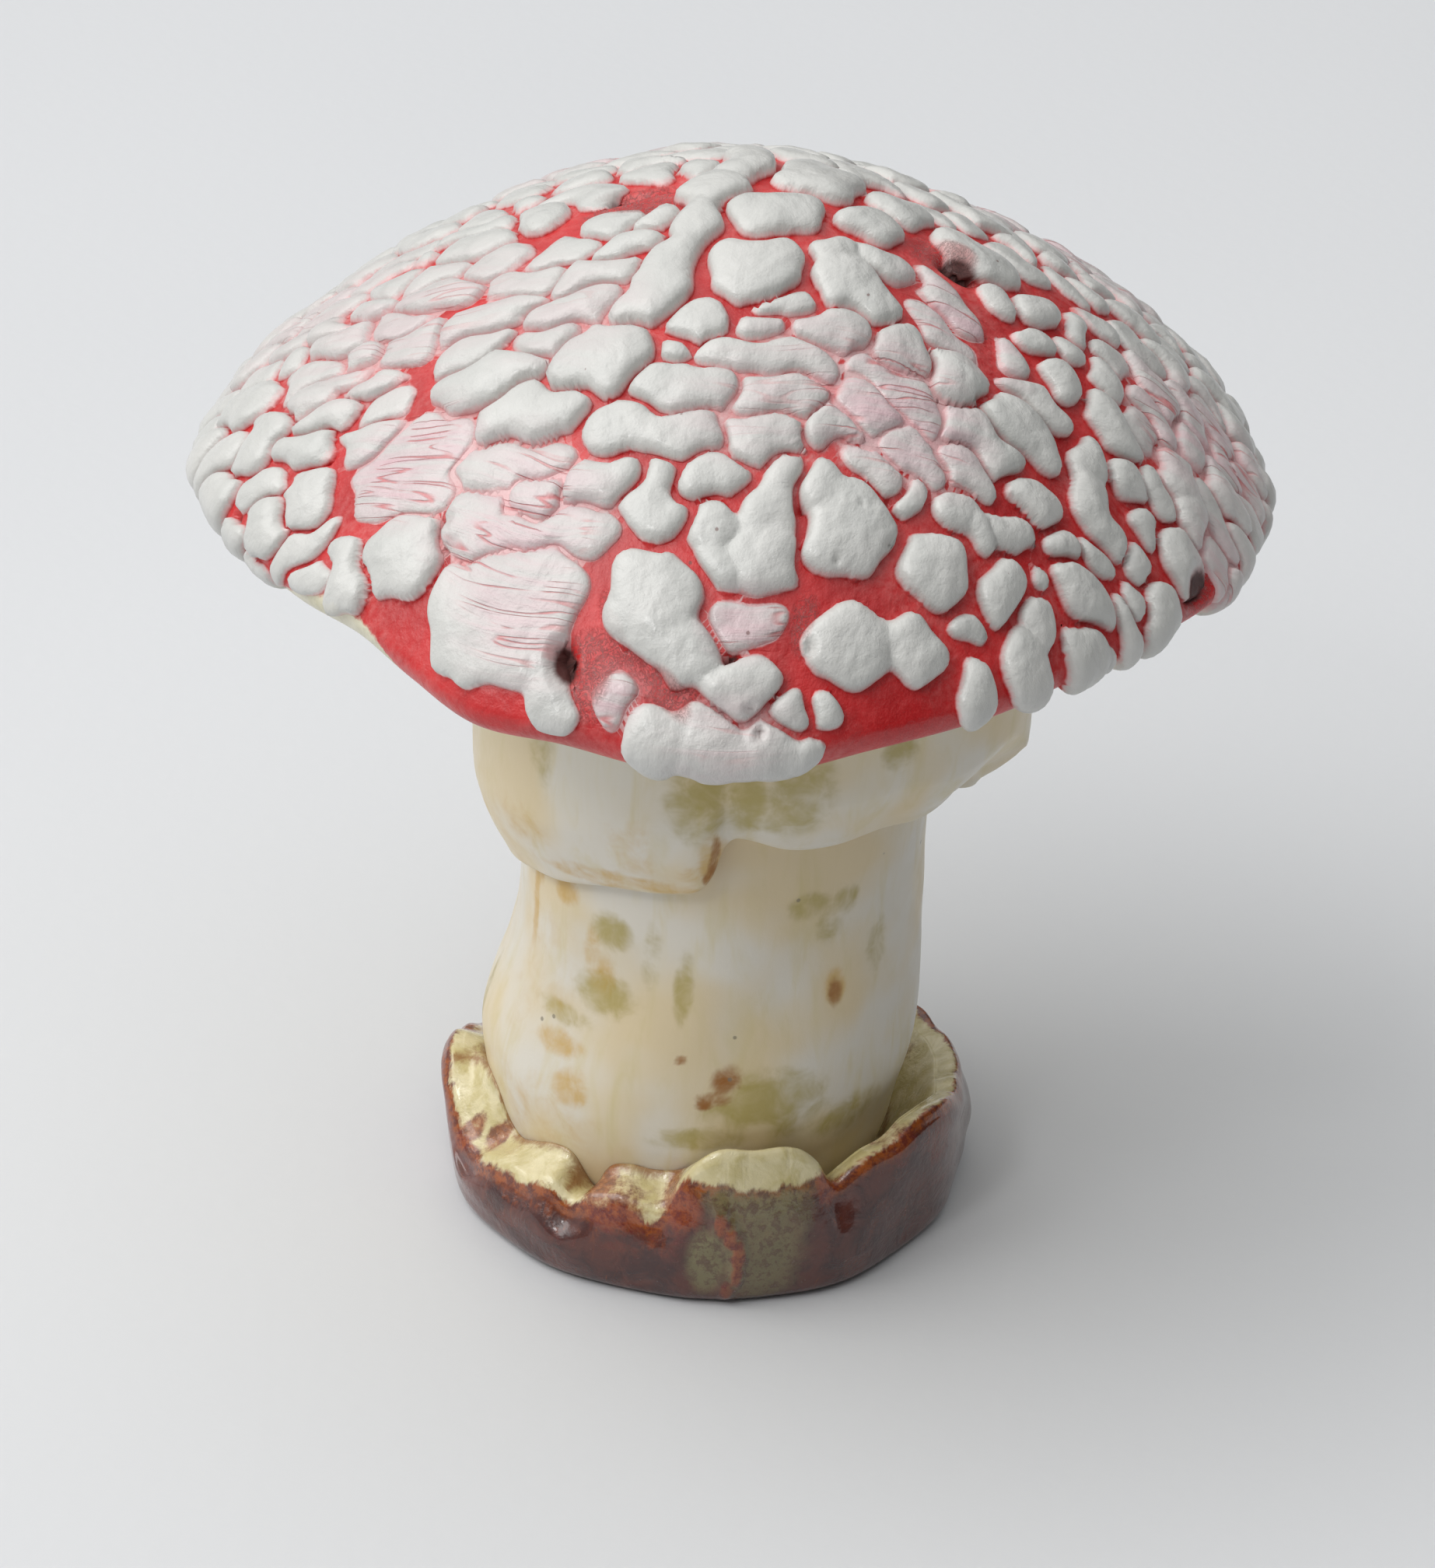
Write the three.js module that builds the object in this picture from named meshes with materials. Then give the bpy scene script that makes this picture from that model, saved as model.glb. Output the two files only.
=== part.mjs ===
// A hand-built glazed ceramic fly agaric: a broad domed cap whose white glaze has crawled into raised
// islands on the red ground, a stout stem, a torn collar under the cap and a pinched cup round the foot.
// Millimetres, +Z up. The origin is the middle of the foot on the shelf; the front looks along -Y.
import * as THREE from 'three';
import { ConvexHull } from 'three/addons/math/ConvexHull.js';

// ---- Sizes ----
const JOINT = 0.35;            // glaze line left between two pieces that touch
const SEED = 11;               // seed of every random draw

// Cap: azimuth in degrees, radius and height of its widest line
const RIM = [
  [0, 58.8, 92.4], [25, 60.6, 93.6], [45, 60.8, 94], [70, 59, 93.6], [95, 59, 94.5], [120, 60, 94],
  [150, 61.4, 93.2], [168, 62.6, 92], [180, 62.4, 91.8], [195, 59.4, 93], [210, 57, 93], [222, 56.3, 94],
  [232, 57.4, 93], [242, 59.5, 92], [252, 59.5, 92.5], [263, 60.5, 92], [272, 60.5, 92], [285, 58, 93.5],
  [300, 56, 94], [315, 53.6, 93.6], [330, 54, 92.8], [345, 56.8, 92.4],
];
// azimuth and how far the dome sags halfway down to the rim
const SAG = [[0, 0.5], [35, 1.6], [75, 0.8], [110, 0.1], [145, 0.6], [180, 0.8], [215, 0], [315, 0]];
const CAP_AXIS_X = 0.5;        // the cap sits a little to the right of the foot
const CROWN_HEIGHT = 128.5;    // top of the red dome, below the white islands
const CROWN_SHIFT = [1, 2];    // the crown leans right and back of the rim's middle
const DOME_SPREAD = 1.8;       // power of the dome's profile near the crown
const DOME_SHOULDER = 0.85;    // power of the dome's profile near the rim
const MAP_RADIUS = 60;         // dome that the flat map of the cap is measured on
const MAP_RISE = 37;
const LIP_REACH = 3.2;         // the rim turns in by this much
const LIP_DROP = 3.4;          // and down by this much
const LIP_ARC = 5.2;           // length of that turn
const SEAT_HEIGHT = 91;        // flat middle of the cap's underside
const SEAT_RADIUS = 35;
const UNDER_RADIUS = 46;       // where the underside leaves the lip
const RIM_STEPS = 112;

// Stem: height, radius, shift along X
const STEM = [
  [4.4, 21.2, -2], [8, 23.2, -2.1], [15, 25, -2.3], [20, 25.8, -2], [25, 25.6, -1.3], [30, 24.8, -0.5], [36, 24, 0],
  [45, 23.7, 0.2], [55, 23.6, 0.6], [64, 23.8, 1], [76, 24.4, 1.2], [SEAT_HEIGHT - JOINT, 24.6, 1.2],
];
const STEM_STEPS = 48;

// Collar: azimuth, height of its torn lower edge, how far it stands out at the top
const COLLAR = [
  [0, 55.6, 33], [8, 56.6, 32.6], [30, 56.4, 32], [70, 55, 31.2], [110, 52, 31.2], [150, 49, 31.6], [175, 47.6, 31.6],
  [196, 46.6, 31.6], [212, 48.2, 31.4], [228, 50.4, 31], [243, 52.1, 30.6], [255, 53, 30.2],
  [260.5, 53.8, 30], [263.8, 56, 29.8], [266.6, 60.2, 29.6], [270, 61.4, 29.7], [282, 59.9, 30], [293, 60, 30.2],
  [306, 60.6, 30.8], [318, 60.2, 31.6], [328, 60.4, 32.4], [336, 61, 33], [342, 60.6, 33.2], [348, 58.6, 33.2],
  [353, 55.8, 33.2],
];
const COLLAR_AXIS_X = 1.8;
const COLLAR_EDGE = [2.9, 2.2];     // thickness at the torn edge, and how much thicker it is at the right
const COLLAR_SWELL = [9.2, 1.9];    // height over which it swells, and how much less that is at the right
const COLLAR_RIGHT = -0.3;          // azimuth of that side, in radians
const COLLAR_HOLD = [76, 70];       // heights at which its inside follows the stem
const COLLAR_STEPS = 96;

// Cup: azimuth, height, radius and thickness of its pinched lip, height where the inside meets the stem
const CUP = [
  [0, 14, 30.6, 3.6, 7], [20, 13.2, 30.6, 3.6, 7], [36, 12.6, 30.4, 3.6, 8], [70, 13.4, 30.4, 3.6, 9],
  [110, 11.6, 30.6, 3.4, 9.5], [140, 9, 30.8, 3, 8.6], [152, 9, 30.9, 3, 9], [160, 10.4, 31, 2.6, 10],
  [168, 12.4, 31.2, 2.2, 12], [176, 14.6, 31.3, 2.2, 13.4], [184, 15.2, 31.4, 2.2, 14.2], [190, 13.4, 31.2, 2.6, 15],
  [196, 10.6, 30.9, 3, 15.6], [202, 8.6, 30.5, 3.4, 14.6], [207, 7.6, 30.4, 3.6, 11.4], [212, 9.4, 30.4, 3.4, 10.4],
  [220, 10.4, 30.2, 3.2, 12], [228, 11.2, 30.1, 3.2, 13.6], [234, 12, 30, 3.2, 13.4], [240, 10.4, 29.7, 3.4, 9.4],
  [245, 12.2, 29.8, 3.4, 13.4], [251, 13.4, 29.8, 3.2, 14.6], [257, 12.4, 29.7, 3.2, 14.4], [262, 13, 29.6, 3.2, 14.6],
  [266.5, 17.2, 29.4, 3, 15], [271, 19.6, 29.1, 2.8, 14], [278, 20.4, 29, 2.8, 13], [286, 20.4, 29.1, 2.8, 12],
  [293, 19.8, 29.3, 2.8, 11], [297.5, 17.6, 29.6, 3, 10], [301.5, 14.4, 29.8, 3.4, 9], [306, 15.6, 30.1, 3.2, 8.5],
  [316, 17.6, 30.6, 3, 8], [328, 18.8, 30.9, 3, 7], [338, 17.6, 31, 3.2, 6.5], [349, 15.2, 30.8, 3.4, 7],
];
const CUP_AXIS_X = -0.5;
const CUP_FOOT_RADIUS = 29.3;  // flat ring that stands on the shelf
const CUP_RADIUS = 31.6;       // outside of the wall
const CUP_EDGE_HEIGHT = 3;     // rounding between foot and wall
const CUP_FLOOR = 4;           // thickness of the floor
const CUP_WAVES = [[5, 0.35, 1], [11, 0.25, 0]];   // times round, depth and start of the wall's unevenness
const CUP_LIP_DROP = [1.2, 0.2];     // from the lip's height down to its outer shoulder and to its edge
const CUP_STEPS = 120;

// White glaze islands read on the cap's flat map (mm from the crown, +X right, +Y back).
// Each entry: relief, then its lobes as [x, y, half length, half width, turn in degrees].
const ISLANDS = [
  // front middle
  [2.3, [-10, -56.7, 5.6, 5.4, 100], [-6.5, -61.3, 4.4, 3.6, 140], [0.5, -65.2, 4.2, 3.4, 10]],
  [1.9, [-4.3, -48.2, 3, 3.2, 0], [-3, -52.8, 2.6, 2.6, 0], [2.6, -51.8, 4.2, 4.6, 90], [2.2, -46.3, 3.9, 3.4, 0],
    [3.4, -42.3, 2.2, 2.4, 90]],
  [1, [0.5, -58.8, 4.4, 3, 0]],
  [2.4, [12.1, -48.4, 6.1, 5.5, 20], [8.4, -43.9, 3.2, 3.2, 0], [7.5, -50.4, 2.2, 2.2, 0]],
  [2.2, [13.6, -61.5, 5.9, 4.2, 0], [22.3, -61, 4.2, 3.4, -15]],
  [1.6, [-15.2, -67, 2.3, 2.1, 30]],
  [1.7, [-10, -71.3, 3.9, 3.2, 0], [-3, -71.2, 4.2, 3.6, 0], [3.5, -71.9, 4.6, 2.8, 0], [8.6, -72.2, 3, 1.7, 0]],
  [1.8, [6.8, -68.1, 2.5, 2.3, 60]],
  [1.5, [11, -68.5, 2.3, 1.7, -60]],
  // front right
  [2.3, [23.8, -51.4, 4.8, 4.3, -15]],
  [2.1, [34.3, -51.3, 4.1, 3.2, 80]],
  [1.5, [29.7, -57.3, 2.3, 1.5, 0]],
  [2, [40.2, -52.6, 3.2, 2.7, 70], [39.7, -58.6, 5, 3.7, -35]],
  [1.9, [50.5, -52.3, 4.6, 4.1, 0], [54.4, -49.4, 1.8, 1.5, 0]],
  [2.3, [48, -45.2, 6.5, 3.4, 0]],
  [1.9, [32.1, -63.3, 3.8, 2.5, 100]],
  [1.3, [39.9, -46, 2.5, 1.6, -50]],
  [2, [38.5, -37.3, 4.8, 2.8, -8]],
  [1.8, [43.3, -40.8, 2.8, 2.4, 0]],
  [1.8, [35.8, -43.9, 5, 2.2, -5], [26.6, -43.5, 3.1, 2.8, 0], [30.1, -45.5, 2.6, 1.7, -20]],
  [1.8, [19.6, -44, 2.9, 2.2, 80]],
  [2.2, [35.6, -28.3, 5.7, 3.7, -20]],
  [1.9, [37, -22.4, 5, 2.6, -12]],
  [2.2, [25.8, -25.4, 3.9, 3.2, -30]],
  [1.9, [33.1, -34.3, 3.3, 3, 0], [27.5, -32.7, 3.2, 2.6, 0]],
  [1.6, [27.9, -38.5, 3.7, 3.1, -20]],
  [2, [45.3, -26.1, 3.6, 2.3, 90], [46.5, -31.7, 3.6, 3, 90], [49.9, -35, 3.8, 2.6, -30]],
  [2, [51.6, -24, 2.9, 2.8, 0]],
  [2, [56.3, -16.2, 4.3, 3.2, -40], [60.9, -20.9, 3.8, 2.6, -40]],
  [1.6, [54.8, -27.2, 3, 1.8, -60]],
  [1.7, [49.4, -38.7, 3.3, 1.9, -15]],
  [1.5, [55.7, -34.7, 2.6, 2, -40]],
  [1.5, [56.3, -40.1, 2.7, 2.2, -30]],
  [2, [62, -27.2, 4.1, 3.3, -60]],
  [1.9, [61.3, -38.5, 4.3, 3.3, 100]],
  [1.9, [46.7, -16.9, 4.8, 3, -25]],
  [1.9, [39.2, -15.9, 3.4, 2.6, 110]],
  [1.8, [34.7, -12.3, 2.7, 2, -10]],
  [1.7, [32.9, -17.9, 3.3, 1.9, -65]],
  [1.9, [33.7, -6.5, 3.1, 3.3, 0]],
  [1.6, [38.7, -9.5, 2.4, 1.7, -10]],
  [1.7, [39.1, -4.4, 2.7, 2, -60]],
  // crown
  [2.3, [-13.6, -19.4, 4.5, 3.4, 40], [-10.4, -13.4, 3.6, 2.2, 60], [-8, -7, 3.8, 2.6, 70], [-6, -1.6, 3.4, 2.6, 60],
    [-3, 6, 4.6, 3, 70]],
  [1.9, [1, -6.2, 5.7, 3.3, 0]],
  [2.2, [-0.3, -15.6, 5.1, 3.6, 0], [-1.5, -18, 3.2, 2.4, 0]],
  [1.5, [3, -21.3, 3.9, 1.6, 0]],
  [2, [5.3, 3.5, 4.6, 4.6, 0]],
  [2, [12.2, -5.2, 3.6, 2.8, -10]],
  [1.8, [15, 1.8, 3.4, 3.3, 0]],
  [2, [8, -12.2, 3.5, 1.7, 0], [15.5, -12, 4.6, 2, -8], [9.6, -16.8, 4, 3.8, 0], [13, -19.6, 3.2, 2.4, -10]],
  [1.9, [8.6, -23.8, 5, 2.6, 0]],
  [1.8, [16.8, -24.6, 4.3, 2.4, -10]],
  [1.8, [-6.5, -23.9, 3.3, 2.4, 20]],
  [1.5, [-0.4, -23.7, 3.7, 1.6, 0]],
  [1.5, [-9.7, -27, 1.9, 1.6, 0]],
  [1.6, [-2.5, -27.6, 4, 2.2, 5], [4, -28, 4.6, 2.3, -3]],
  [1.8, [-8, -32, 5.9, 3, 3]],
  [1.8, [-9, -37.5, 6, 2.6, 0], [-15.5, -36.5, 3.3, 3, 0]],
  [1.5, [2, -32.4, 4.7, 2.9, 0]],
  [1.7, [1, -37.8, 4.7, 3, 0]],
  [2.4, [-18.4, -27.1, 6.3, 3.9, 6]],
  [1.5, [-17, -4.4, 2.9, 1.7, 0]],
  [1.8, [-12.5, -6, 2.5, 1.9, 15]],
  [1.7, [-16.5, -9.6, 3.9, 1.8, 0]],
  [1.7, [-20.4, -13.8, 5.2, 2.3, -3]],
  [1.7, [-21.7, -18.5, 6, 2.2, -3]],
  [1.7, [-25.9, -23.1, 4, 1.8, 0]],
  [1.6, [-7.6, 6.6, 2.8, 2.5, 0]],
  [2, [25.1, -3, 5.4, 3.3, -20]],
  [1.6, [28.7, -8.4, 3, 2.1, -20]],
  // left
  [2.2, [-32.3, -25.6, 6.3, 3, 4]],
  [2.1, [-26.9, -32.8, 7, 3.2, -5]],
  [1.6, [-34.8, -19.2, 3.3, 1.9, 0]],
  [1.7, [-31.3, -14.7, 6, 2, -4]],
  [1.9, [-17, -42.4, 4.3, 2.4, -3]],
  [1.6, [-25.5, -42.7, 3.1, 2.5, -5]],
  [1.8, [-4.3, -43, 4.7, 2.7, 0]],
  [1.8, [-10.8, -46.6, 4.2, 2.9, 0], [-10.5, -43.1, 2.5, 2.2, 0]],
  [1, [-30.3, -38, 8.5, 2.3, -8]],
  [1.2, [-25, -47.3, 9.5, 2.2, -5], [-34.3, -44.4, 3.4, 3.4, 0]],
  [1.3, [-25.5, -53, 6.5, 4.4, -60], [-33.1, -52.7, 6, 4, 0], [-27.6, -59, 5.6, 4.2, 0], [-34.6, -57.4, 5.2, 3.8, -20],
    [-23.5, -66.6, 4, 2.2, -50]],
  [0.8, [-43.4, -33.6, 7.5, 6.4, -35]],
  [1.9, [-45.3, -45.1, 5.3, 4.6, -20]],
  [2.1, [-54.2, -43.8, 5.2, 2.8, 105]],
  [1.8, [-63.1, -12.3, 4, 3.5, 0]],
  [1.6, [-71.8, -2.5, 3.2, 3.6, 90]],
  [1.7, [-70.8, -13.9, 3.4, 3.2, 90]],
  [1.8, [-64.6, -27.6, 5.2, 3.6, 100]],
  [1.6, [-59.1, -27.2, 5.5, 3.2, 100]],
];

// Places where the red glaze lies bare: [x, y, half length, half width, turn in degrees]
const BARE = [
  [-6.8, -17.5, 2.6, 6.5, 0], [-14, 0.5, 4.4, 3, 0], [-25.5, -27.9, 1.8, 2.4, 0], [-17, -57.1, 5, 9, 0],
  [-14, -50.6, 4, 2, 0], [8.1, -56.4, 9, 3.4, 0], [24.3, -56.8, 9, 3.2, 0], [22.2, -69.2, 15, 5.5, 5],
  [-30, -71.1, 16, 4.5, 10],
  [38, -33.8, 3.6, 2.2, 0], [50, -19.7, 2.6, 2, 0], [-63.3, -19.5, 2.6, 1.6, -20], [-52.1, -29, 2, 1.7, 0],
  [-63.3, -39.8, 4, 4, 0], [-49.8, -51.4, 5, 5, 0], [-50.7, -57.8, 12, 4.5, -45], [17, -5.6, 2.8, 2.8, 0],
  [7.8, -2.6, 3, 1.2, 0], [6, -59.9, 2.2, 3.6, 0], [-12, -25, 4, 1.5, 10], [28.4, -68.9, 12, 4, 10],
  [49.9, -62.3, 10, 3.5, 40], [23.5, -9.1, 3, 1.8, 0], [-63.6, -39.8, 9, 3.2, -58], [-39, -64.6, 10, 3.2, -31],
  [-18, -73.2, 5.5, 3, 14], [65.6, -28.4, 2.2, 2.6, -20], [40.4, -27.6, 8, 1.2, -40],
];

// The rest of the cap carries bricks of glaze laid along the brush strokes
const STROKE_TURN = -30;       // degrees, direction of the strokes on the map
const STROKE_SWAY = 24;        // a brick's own turn from that, from end to end
const BRICK_PITCH = 8.2;       // along a stroke
const ROW_PITCH = 4.6;         // between strokes
const BRICK_JITTER = [0.8, 0.4];   // share of those by which a brick strays along and across
const BRICK_CLEAR = 1.6;       // between a brick's middle and an island read above
const BRICK_HALF_LENGTH = [3.4, 2.8];   // least, spread
const BRICK_HALF_WIDTH = [1.9, 0.9];
const BRICK_RELIEF = [0.9, 1];
const BRICK_MARGIN = 1.5;      // between a brick's middle and the end of the lip
const BRICK_SPARE = 0.03;      // share of bricks that the red shows through instead
const CRACK = 0.9;             // red crack between two islands
const CRACK_SHARE = 1.7;       // how quickly ground shared by two islands falls to one of them
const CORNER = 1.1;            // corners between the two are rounded over this distance
const GROW = [0.5, 1.5];       // an island spreads past its lobes, and this much more where they lie packed
const FOOT_ROUND = 1.6;        // over this distance an island's edge rises
const EDGE_SHARE = 0.93;       // share of its relief that it has there; the rest is its slightly domed top
const TOP_ROUND = 4;
// waver of the islands' edges: shift, waves a millimetre, then size and waves of their own unevenness, start
const WAVER = [[0.5, 0.83, 1.3, 0.41, 0.7], [0.45, 0.77, 1.1, 0.47, 2.1]];
const LOBE_REACH = 3;          // a lobe is looked for this far outside itself
const LOBE_BLEND = 1.2;        // lobes of one island flow together over this distance
// where the islands lie packed: [x, y, half length, half width, turn, how much]
const PACKED = [
  [-38, -14, 32, 28, 0, 1], [-29, -46, 16, 13, -45, 1], [0, -33.1, 17, 9, 0, 1], [19.3, -30.4, 13, 10, -20, 1],
  [0, 44.2, 70, 36, 0, 1], [63.2, 2, 16, 34, 0, 0.8], [-62.1, 18, 30, 44, 0, 1], [-2, -70.4, 12, 5, 0, 0.6],
];

// Spacing of the skin's points: at an island's foot, on its shoulder, on its crown, on bare red
const FOOT_SPACING = 2.3;
const SHOULDER_DEPTH = 0.8;
const SHOULDER_SPACING = 1.25;
const CROWN_DEPTH = 2;
const CROWN_SPACING = 3.5;
const THIN_DEPTH = 0.4;         // an island narrower than its shoulders still gets a crown
const GROUND_SPACING = 4.5;
const FACING_SHARE = 0.6;      // of the foot's spacing, for points that face each other over a crack
const EDGE_GAP = 1.4;          // least distance between a foot and the end of the lip
const LEAST_GAP = 0.45;        // least distance between any two points
const SCAN = 0.7;              // step of the search for those points
const CELL = 3.5;              // side of the squares in which they are looked up

// Glaze colours: red ground, cream, and the brown of the cup, with their roughness
const RED_GLAZE = [0xbb3230, 0.25];
const CREAM_GLAZE = [0xe2decf, 0.45];
const BROWN_GLAZE = [0x73463c, 0.25];

// ---- Small tools ----
const rad = THREE.MathUtils.degToRad;

// smooth closed curve through rows of [azimuth, values...]
function around(rows, azimuth) {
  const n = rows.length;
  const a = ((azimuth % 360) + 360) % 360;
  let i = n - 1;
  while (i > 0 && rows[i][0] > a) i--;
  const [p0, p1, p2, p3] = [rows[(i + n - 1) % n], rows[i], rows[(i + 1) % n], rows[(i + 2) % n]];
  const gap = (x, y) => ((y - x) % 360 + 360) % 360;
  const span = gap(p1[0], p2[0]);
  const t = gap(p1[0], a) / span;
  return p1.slice(1).map((y1, k) => {
    const y2 = p2[k + 1];
    const m1 = (y2 - p0[k + 1]) / gap(p0[0], p2[0]) * span;
    const m2 = (p3[k + 1] - y1) / gap(p1[0], p3[0]) * span;
    return (2 * t ** 3 - 3 * t ** 2 + 1) * y1 + (t ** 3 - 2 * t ** 2 + t) * m1
      + (-2 * t ** 3 + 3 * t ** 2) * y2 + (t ** 3 - t ** 2) * m2;
  });
}

// straight-line reading of rows of [height, values...]
function along(rows, z) {
  let i = 0;
  while (i < rows.length - 2 && rows[i + 1][0] < z) i++;
  const t = THREE.MathUtils.clamp((z - rows[i][0]) / (rows[i + 1][0] - rows[i][0]), 0, 1);
  return rows[i].slice(1).map((y, k) => y + (rows[i + 1][k + 1] - y) * t);
}

// even draw in 0..1 for an item
function draw(item, which) {
  let x = Math.imul(item, 73856093) ^ Math.imul(which, 19349663) ^ Math.imul(SEED, 83492791);
  x = Math.imul(x ^ (x >>> 13), 1274126177);
  return ((x ^ (x >>> 16)) >>> 0) / 4294967296;
}

// mesh of outlines set side by side round the axis; a hollow one joins its last ring to its first
function turned(outlines, hollow = false) {
  const rings = outlines[0].map((_, k) => outlines.map((outline) => outline[k]));
  const points = rings.flat();
  const n = outlines.length;
  const faces = [];
  for (let r = 0; r < (hollow ? rings.length : rings.length - 1); r++) {
    const next = (r + 1) % rings.length;
    for (let i = 0; i < n; i++) {
      const j = (i + 1) % n;
      const [a, b, c, d] = [r * n + i, r * n + j, next * n + i, next * n + j];
      faces.push([a, b, d], [a, d, c]);
    }
  }
  return { points, faces, n };
}

function closeWith(mesh, ringStart, centre, upward) {
  mesh.points.push(centre);
  const c = mesh.points.length - 1;
  for (let i = 0; i < mesh.n; i++) {
    const j = ringStart + (i + 1) % mesh.n;
    mesh.faces.push(upward ? [ringStart + i, j, c] : [j, ringStart + i, c]);
  }
}

function solid(name, mesh, [colour, roughness]) {
  const geometry = new THREE.BufferGeometry();
  geometry.setAttribute('position', new THREE.Float32BufferAttribute(mesh.points.flatMap((p) => [p.x, p.y, p.z]), 3));
  geometry.setIndex(mesh.faces.flat());
  geometry.computeVertexNormals();
  const piece = new THREE.Mesh(geometry, new THREE.MeshStandardMaterial({ color: colour, roughness, metalness: 0 }));
  piece.name = name;
  return piece;
}

// ---- Cap ----
// The dome is drawn from a flat map: distance from the crown along the skin, and azimuth.
const domeShare = (s) => (1 - s ** DOME_SPREAD) ** DOME_SHOULDER;
const PROFILE = [];
{
  let length = 0;
  let before = [0, MAP_RISE];
  for (let i = 0; i <= 300; i++) {
    const s = 1 - (1 - i / 300) ** 2;
    const here = [MAP_RADIUS * s, MAP_RISE * domeShare(s)];
    length += Math.hypot(here[0] - before[0], here[1] - before[1]);
    PROFILE.push([length, s]);
    before = here;
  }
}
const MAP_RIM = PROFILE.at(-1)[0];
const MAP_EDGE = MAP_RIM + LIP_ARC;

function dome(x, y) {
  const m = Math.hypot(x, y);
  const a = Math.atan2(y, x);
  const [radius, height] = around(RIM, THREE.MathUtils.radToDeg(a));
  if (m > MAP_RIM) {
    const turn = (m - MAP_RIM) / LIP_ARC * Math.PI / 2;
    const r = radius - LIP_REACH * (1 - Math.cos(turn));
    return new THREE.Vector3(CAP_AXIS_X + r * Math.cos(a), r * Math.sin(a), height - LIP_DROP * Math.sin(turn));
  }
  const [s] = along(PROFILE, m);
  const [sag] = around(SAG, THREE.MathUtils.radToDeg(a));
  return new THREE.Vector3(
    CAP_AXIS_X + CROWN_SHIFT[0] * (1 - s) + radius * s * Math.cos(a),
    CROWN_SHIFT[1] * (1 - s) + radius * s * Math.sin(a),
    height + (CROWN_HEIGHT - height) * domeShare(s) - sag * Math.sin(Math.PI * s),
  );
}

function skin(x, y, relief) {
  const p = dome(x, y);
  const e = 0.4;
  const along1 = dome(x + e, y).sub(dome(x - e, y));
  const along2 = dome(x, y + e).sub(dome(x, y - e));
  return p.addScaledVector(along1.cross(along2).normalize(), relief);
}

// a map point as seen from the middle of a lobe, along and across it
function fromLobe(x, y, [cx, cy, , , turn]) {
  const c = Math.cos(rad(turn));
  const s = Math.sin(rad(turn));
  return [(x - cx) * c + (y - cy) * s, (y - cy) * c - (x - cx) * s];
}

// distance inside one lobe, negative outside
function inLobe(x, y, lobe) {
  const [, , a, b] = lobe;
  const [px, py] = fromLobe(x, y, lobe);
  const k = Math.hypot(px / a, py / b);
  const slope = Math.hypot(px / a / a, py / b / b);
  return k < 1 ? (1 - k * k) / Math.sqrt(4 * slope ** 2 + (1 - k * k) / Math.min(a, b) ** 2) : k * (1 - k) / slope;
}

function bricks() {
  const read = ISLANDS.flatMap(([, ...lobes]) => lobes);
  const out = [];
  const rows = Math.ceil(MAP_EDGE / ROW_PITCH) + 4;
  const columns = Math.ceil(MAP_EDGE / BRICK_PITCH) + 3;
  let item = 0;
  for (let j = -rows; j <= rows; j++) {
    for (let i = -columns; i <= columns; i++) {
      item++;
      const sx = (i + (j & 1) / 2) * BRICK_PITCH + (draw(item, 1) - 0.5) * BRICK_PITCH * BRICK_JITTER[0];
      const sy = j * ROW_PITCH + (draw(item, 2) - 0.5) * ROW_PITCH * BRICK_JITTER[1];
      const x = sx * Math.cos(rad(STROKE_TURN)) - sy * Math.sin(rad(STROKE_TURN));
      const y = sx * Math.sin(rad(STROKE_TURN)) + sy * Math.cos(rad(STROKE_TURN));
      if (Math.hypot(x, y) > MAP_EDGE - BRICK_MARGIN || draw(item, 3) < BRICK_SPARE) continue;
      if (read.some((lobe) => inLobe(x, y, lobe) > -BRICK_CLEAR)) continue;
      if (BARE.some((lobe) => inLobe(x, y, lobe) > 0)) continue;
      const [a, b, h] = [BRICK_HALF_LENGTH, BRICK_HALF_WIDTH, BRICK_RELIEF]
        .map(([least, spread], k) => least + spread * draw(item, 4 + k));
      out.push([h, [x, y, a, b, STROKE_TURN + (draw(item, 7) - 0.5) * STROKE_SWAY]]);
    }
  }
  return out;
}

const GLAZE = [...ISLANDS, ...bricks()].map(([relief, ...lobes]) => {
  const box = new THREE.Box2();
  for (const [x, y, a] of lobes) {
    box.expandByPoint(new THREE.Vector2(x - a, y - a)).expandByPoint(new THREE.Vector2(x + a, y + a));
  }
  return { relief, lobes, box: box.expandByScalar(LOBE_REACH) };
});

function packedAt(x, y) {
  return Math.max(0, ...PACKED.map((patch) => {
    const [px, py] = fromLobe(x, y, patch);
    return patch[5] * THREE.MathUtils.clamp(1.5 - Math.hypot(px / patch[2], py / patch[3]), 0, 1);
  }));
}

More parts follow.
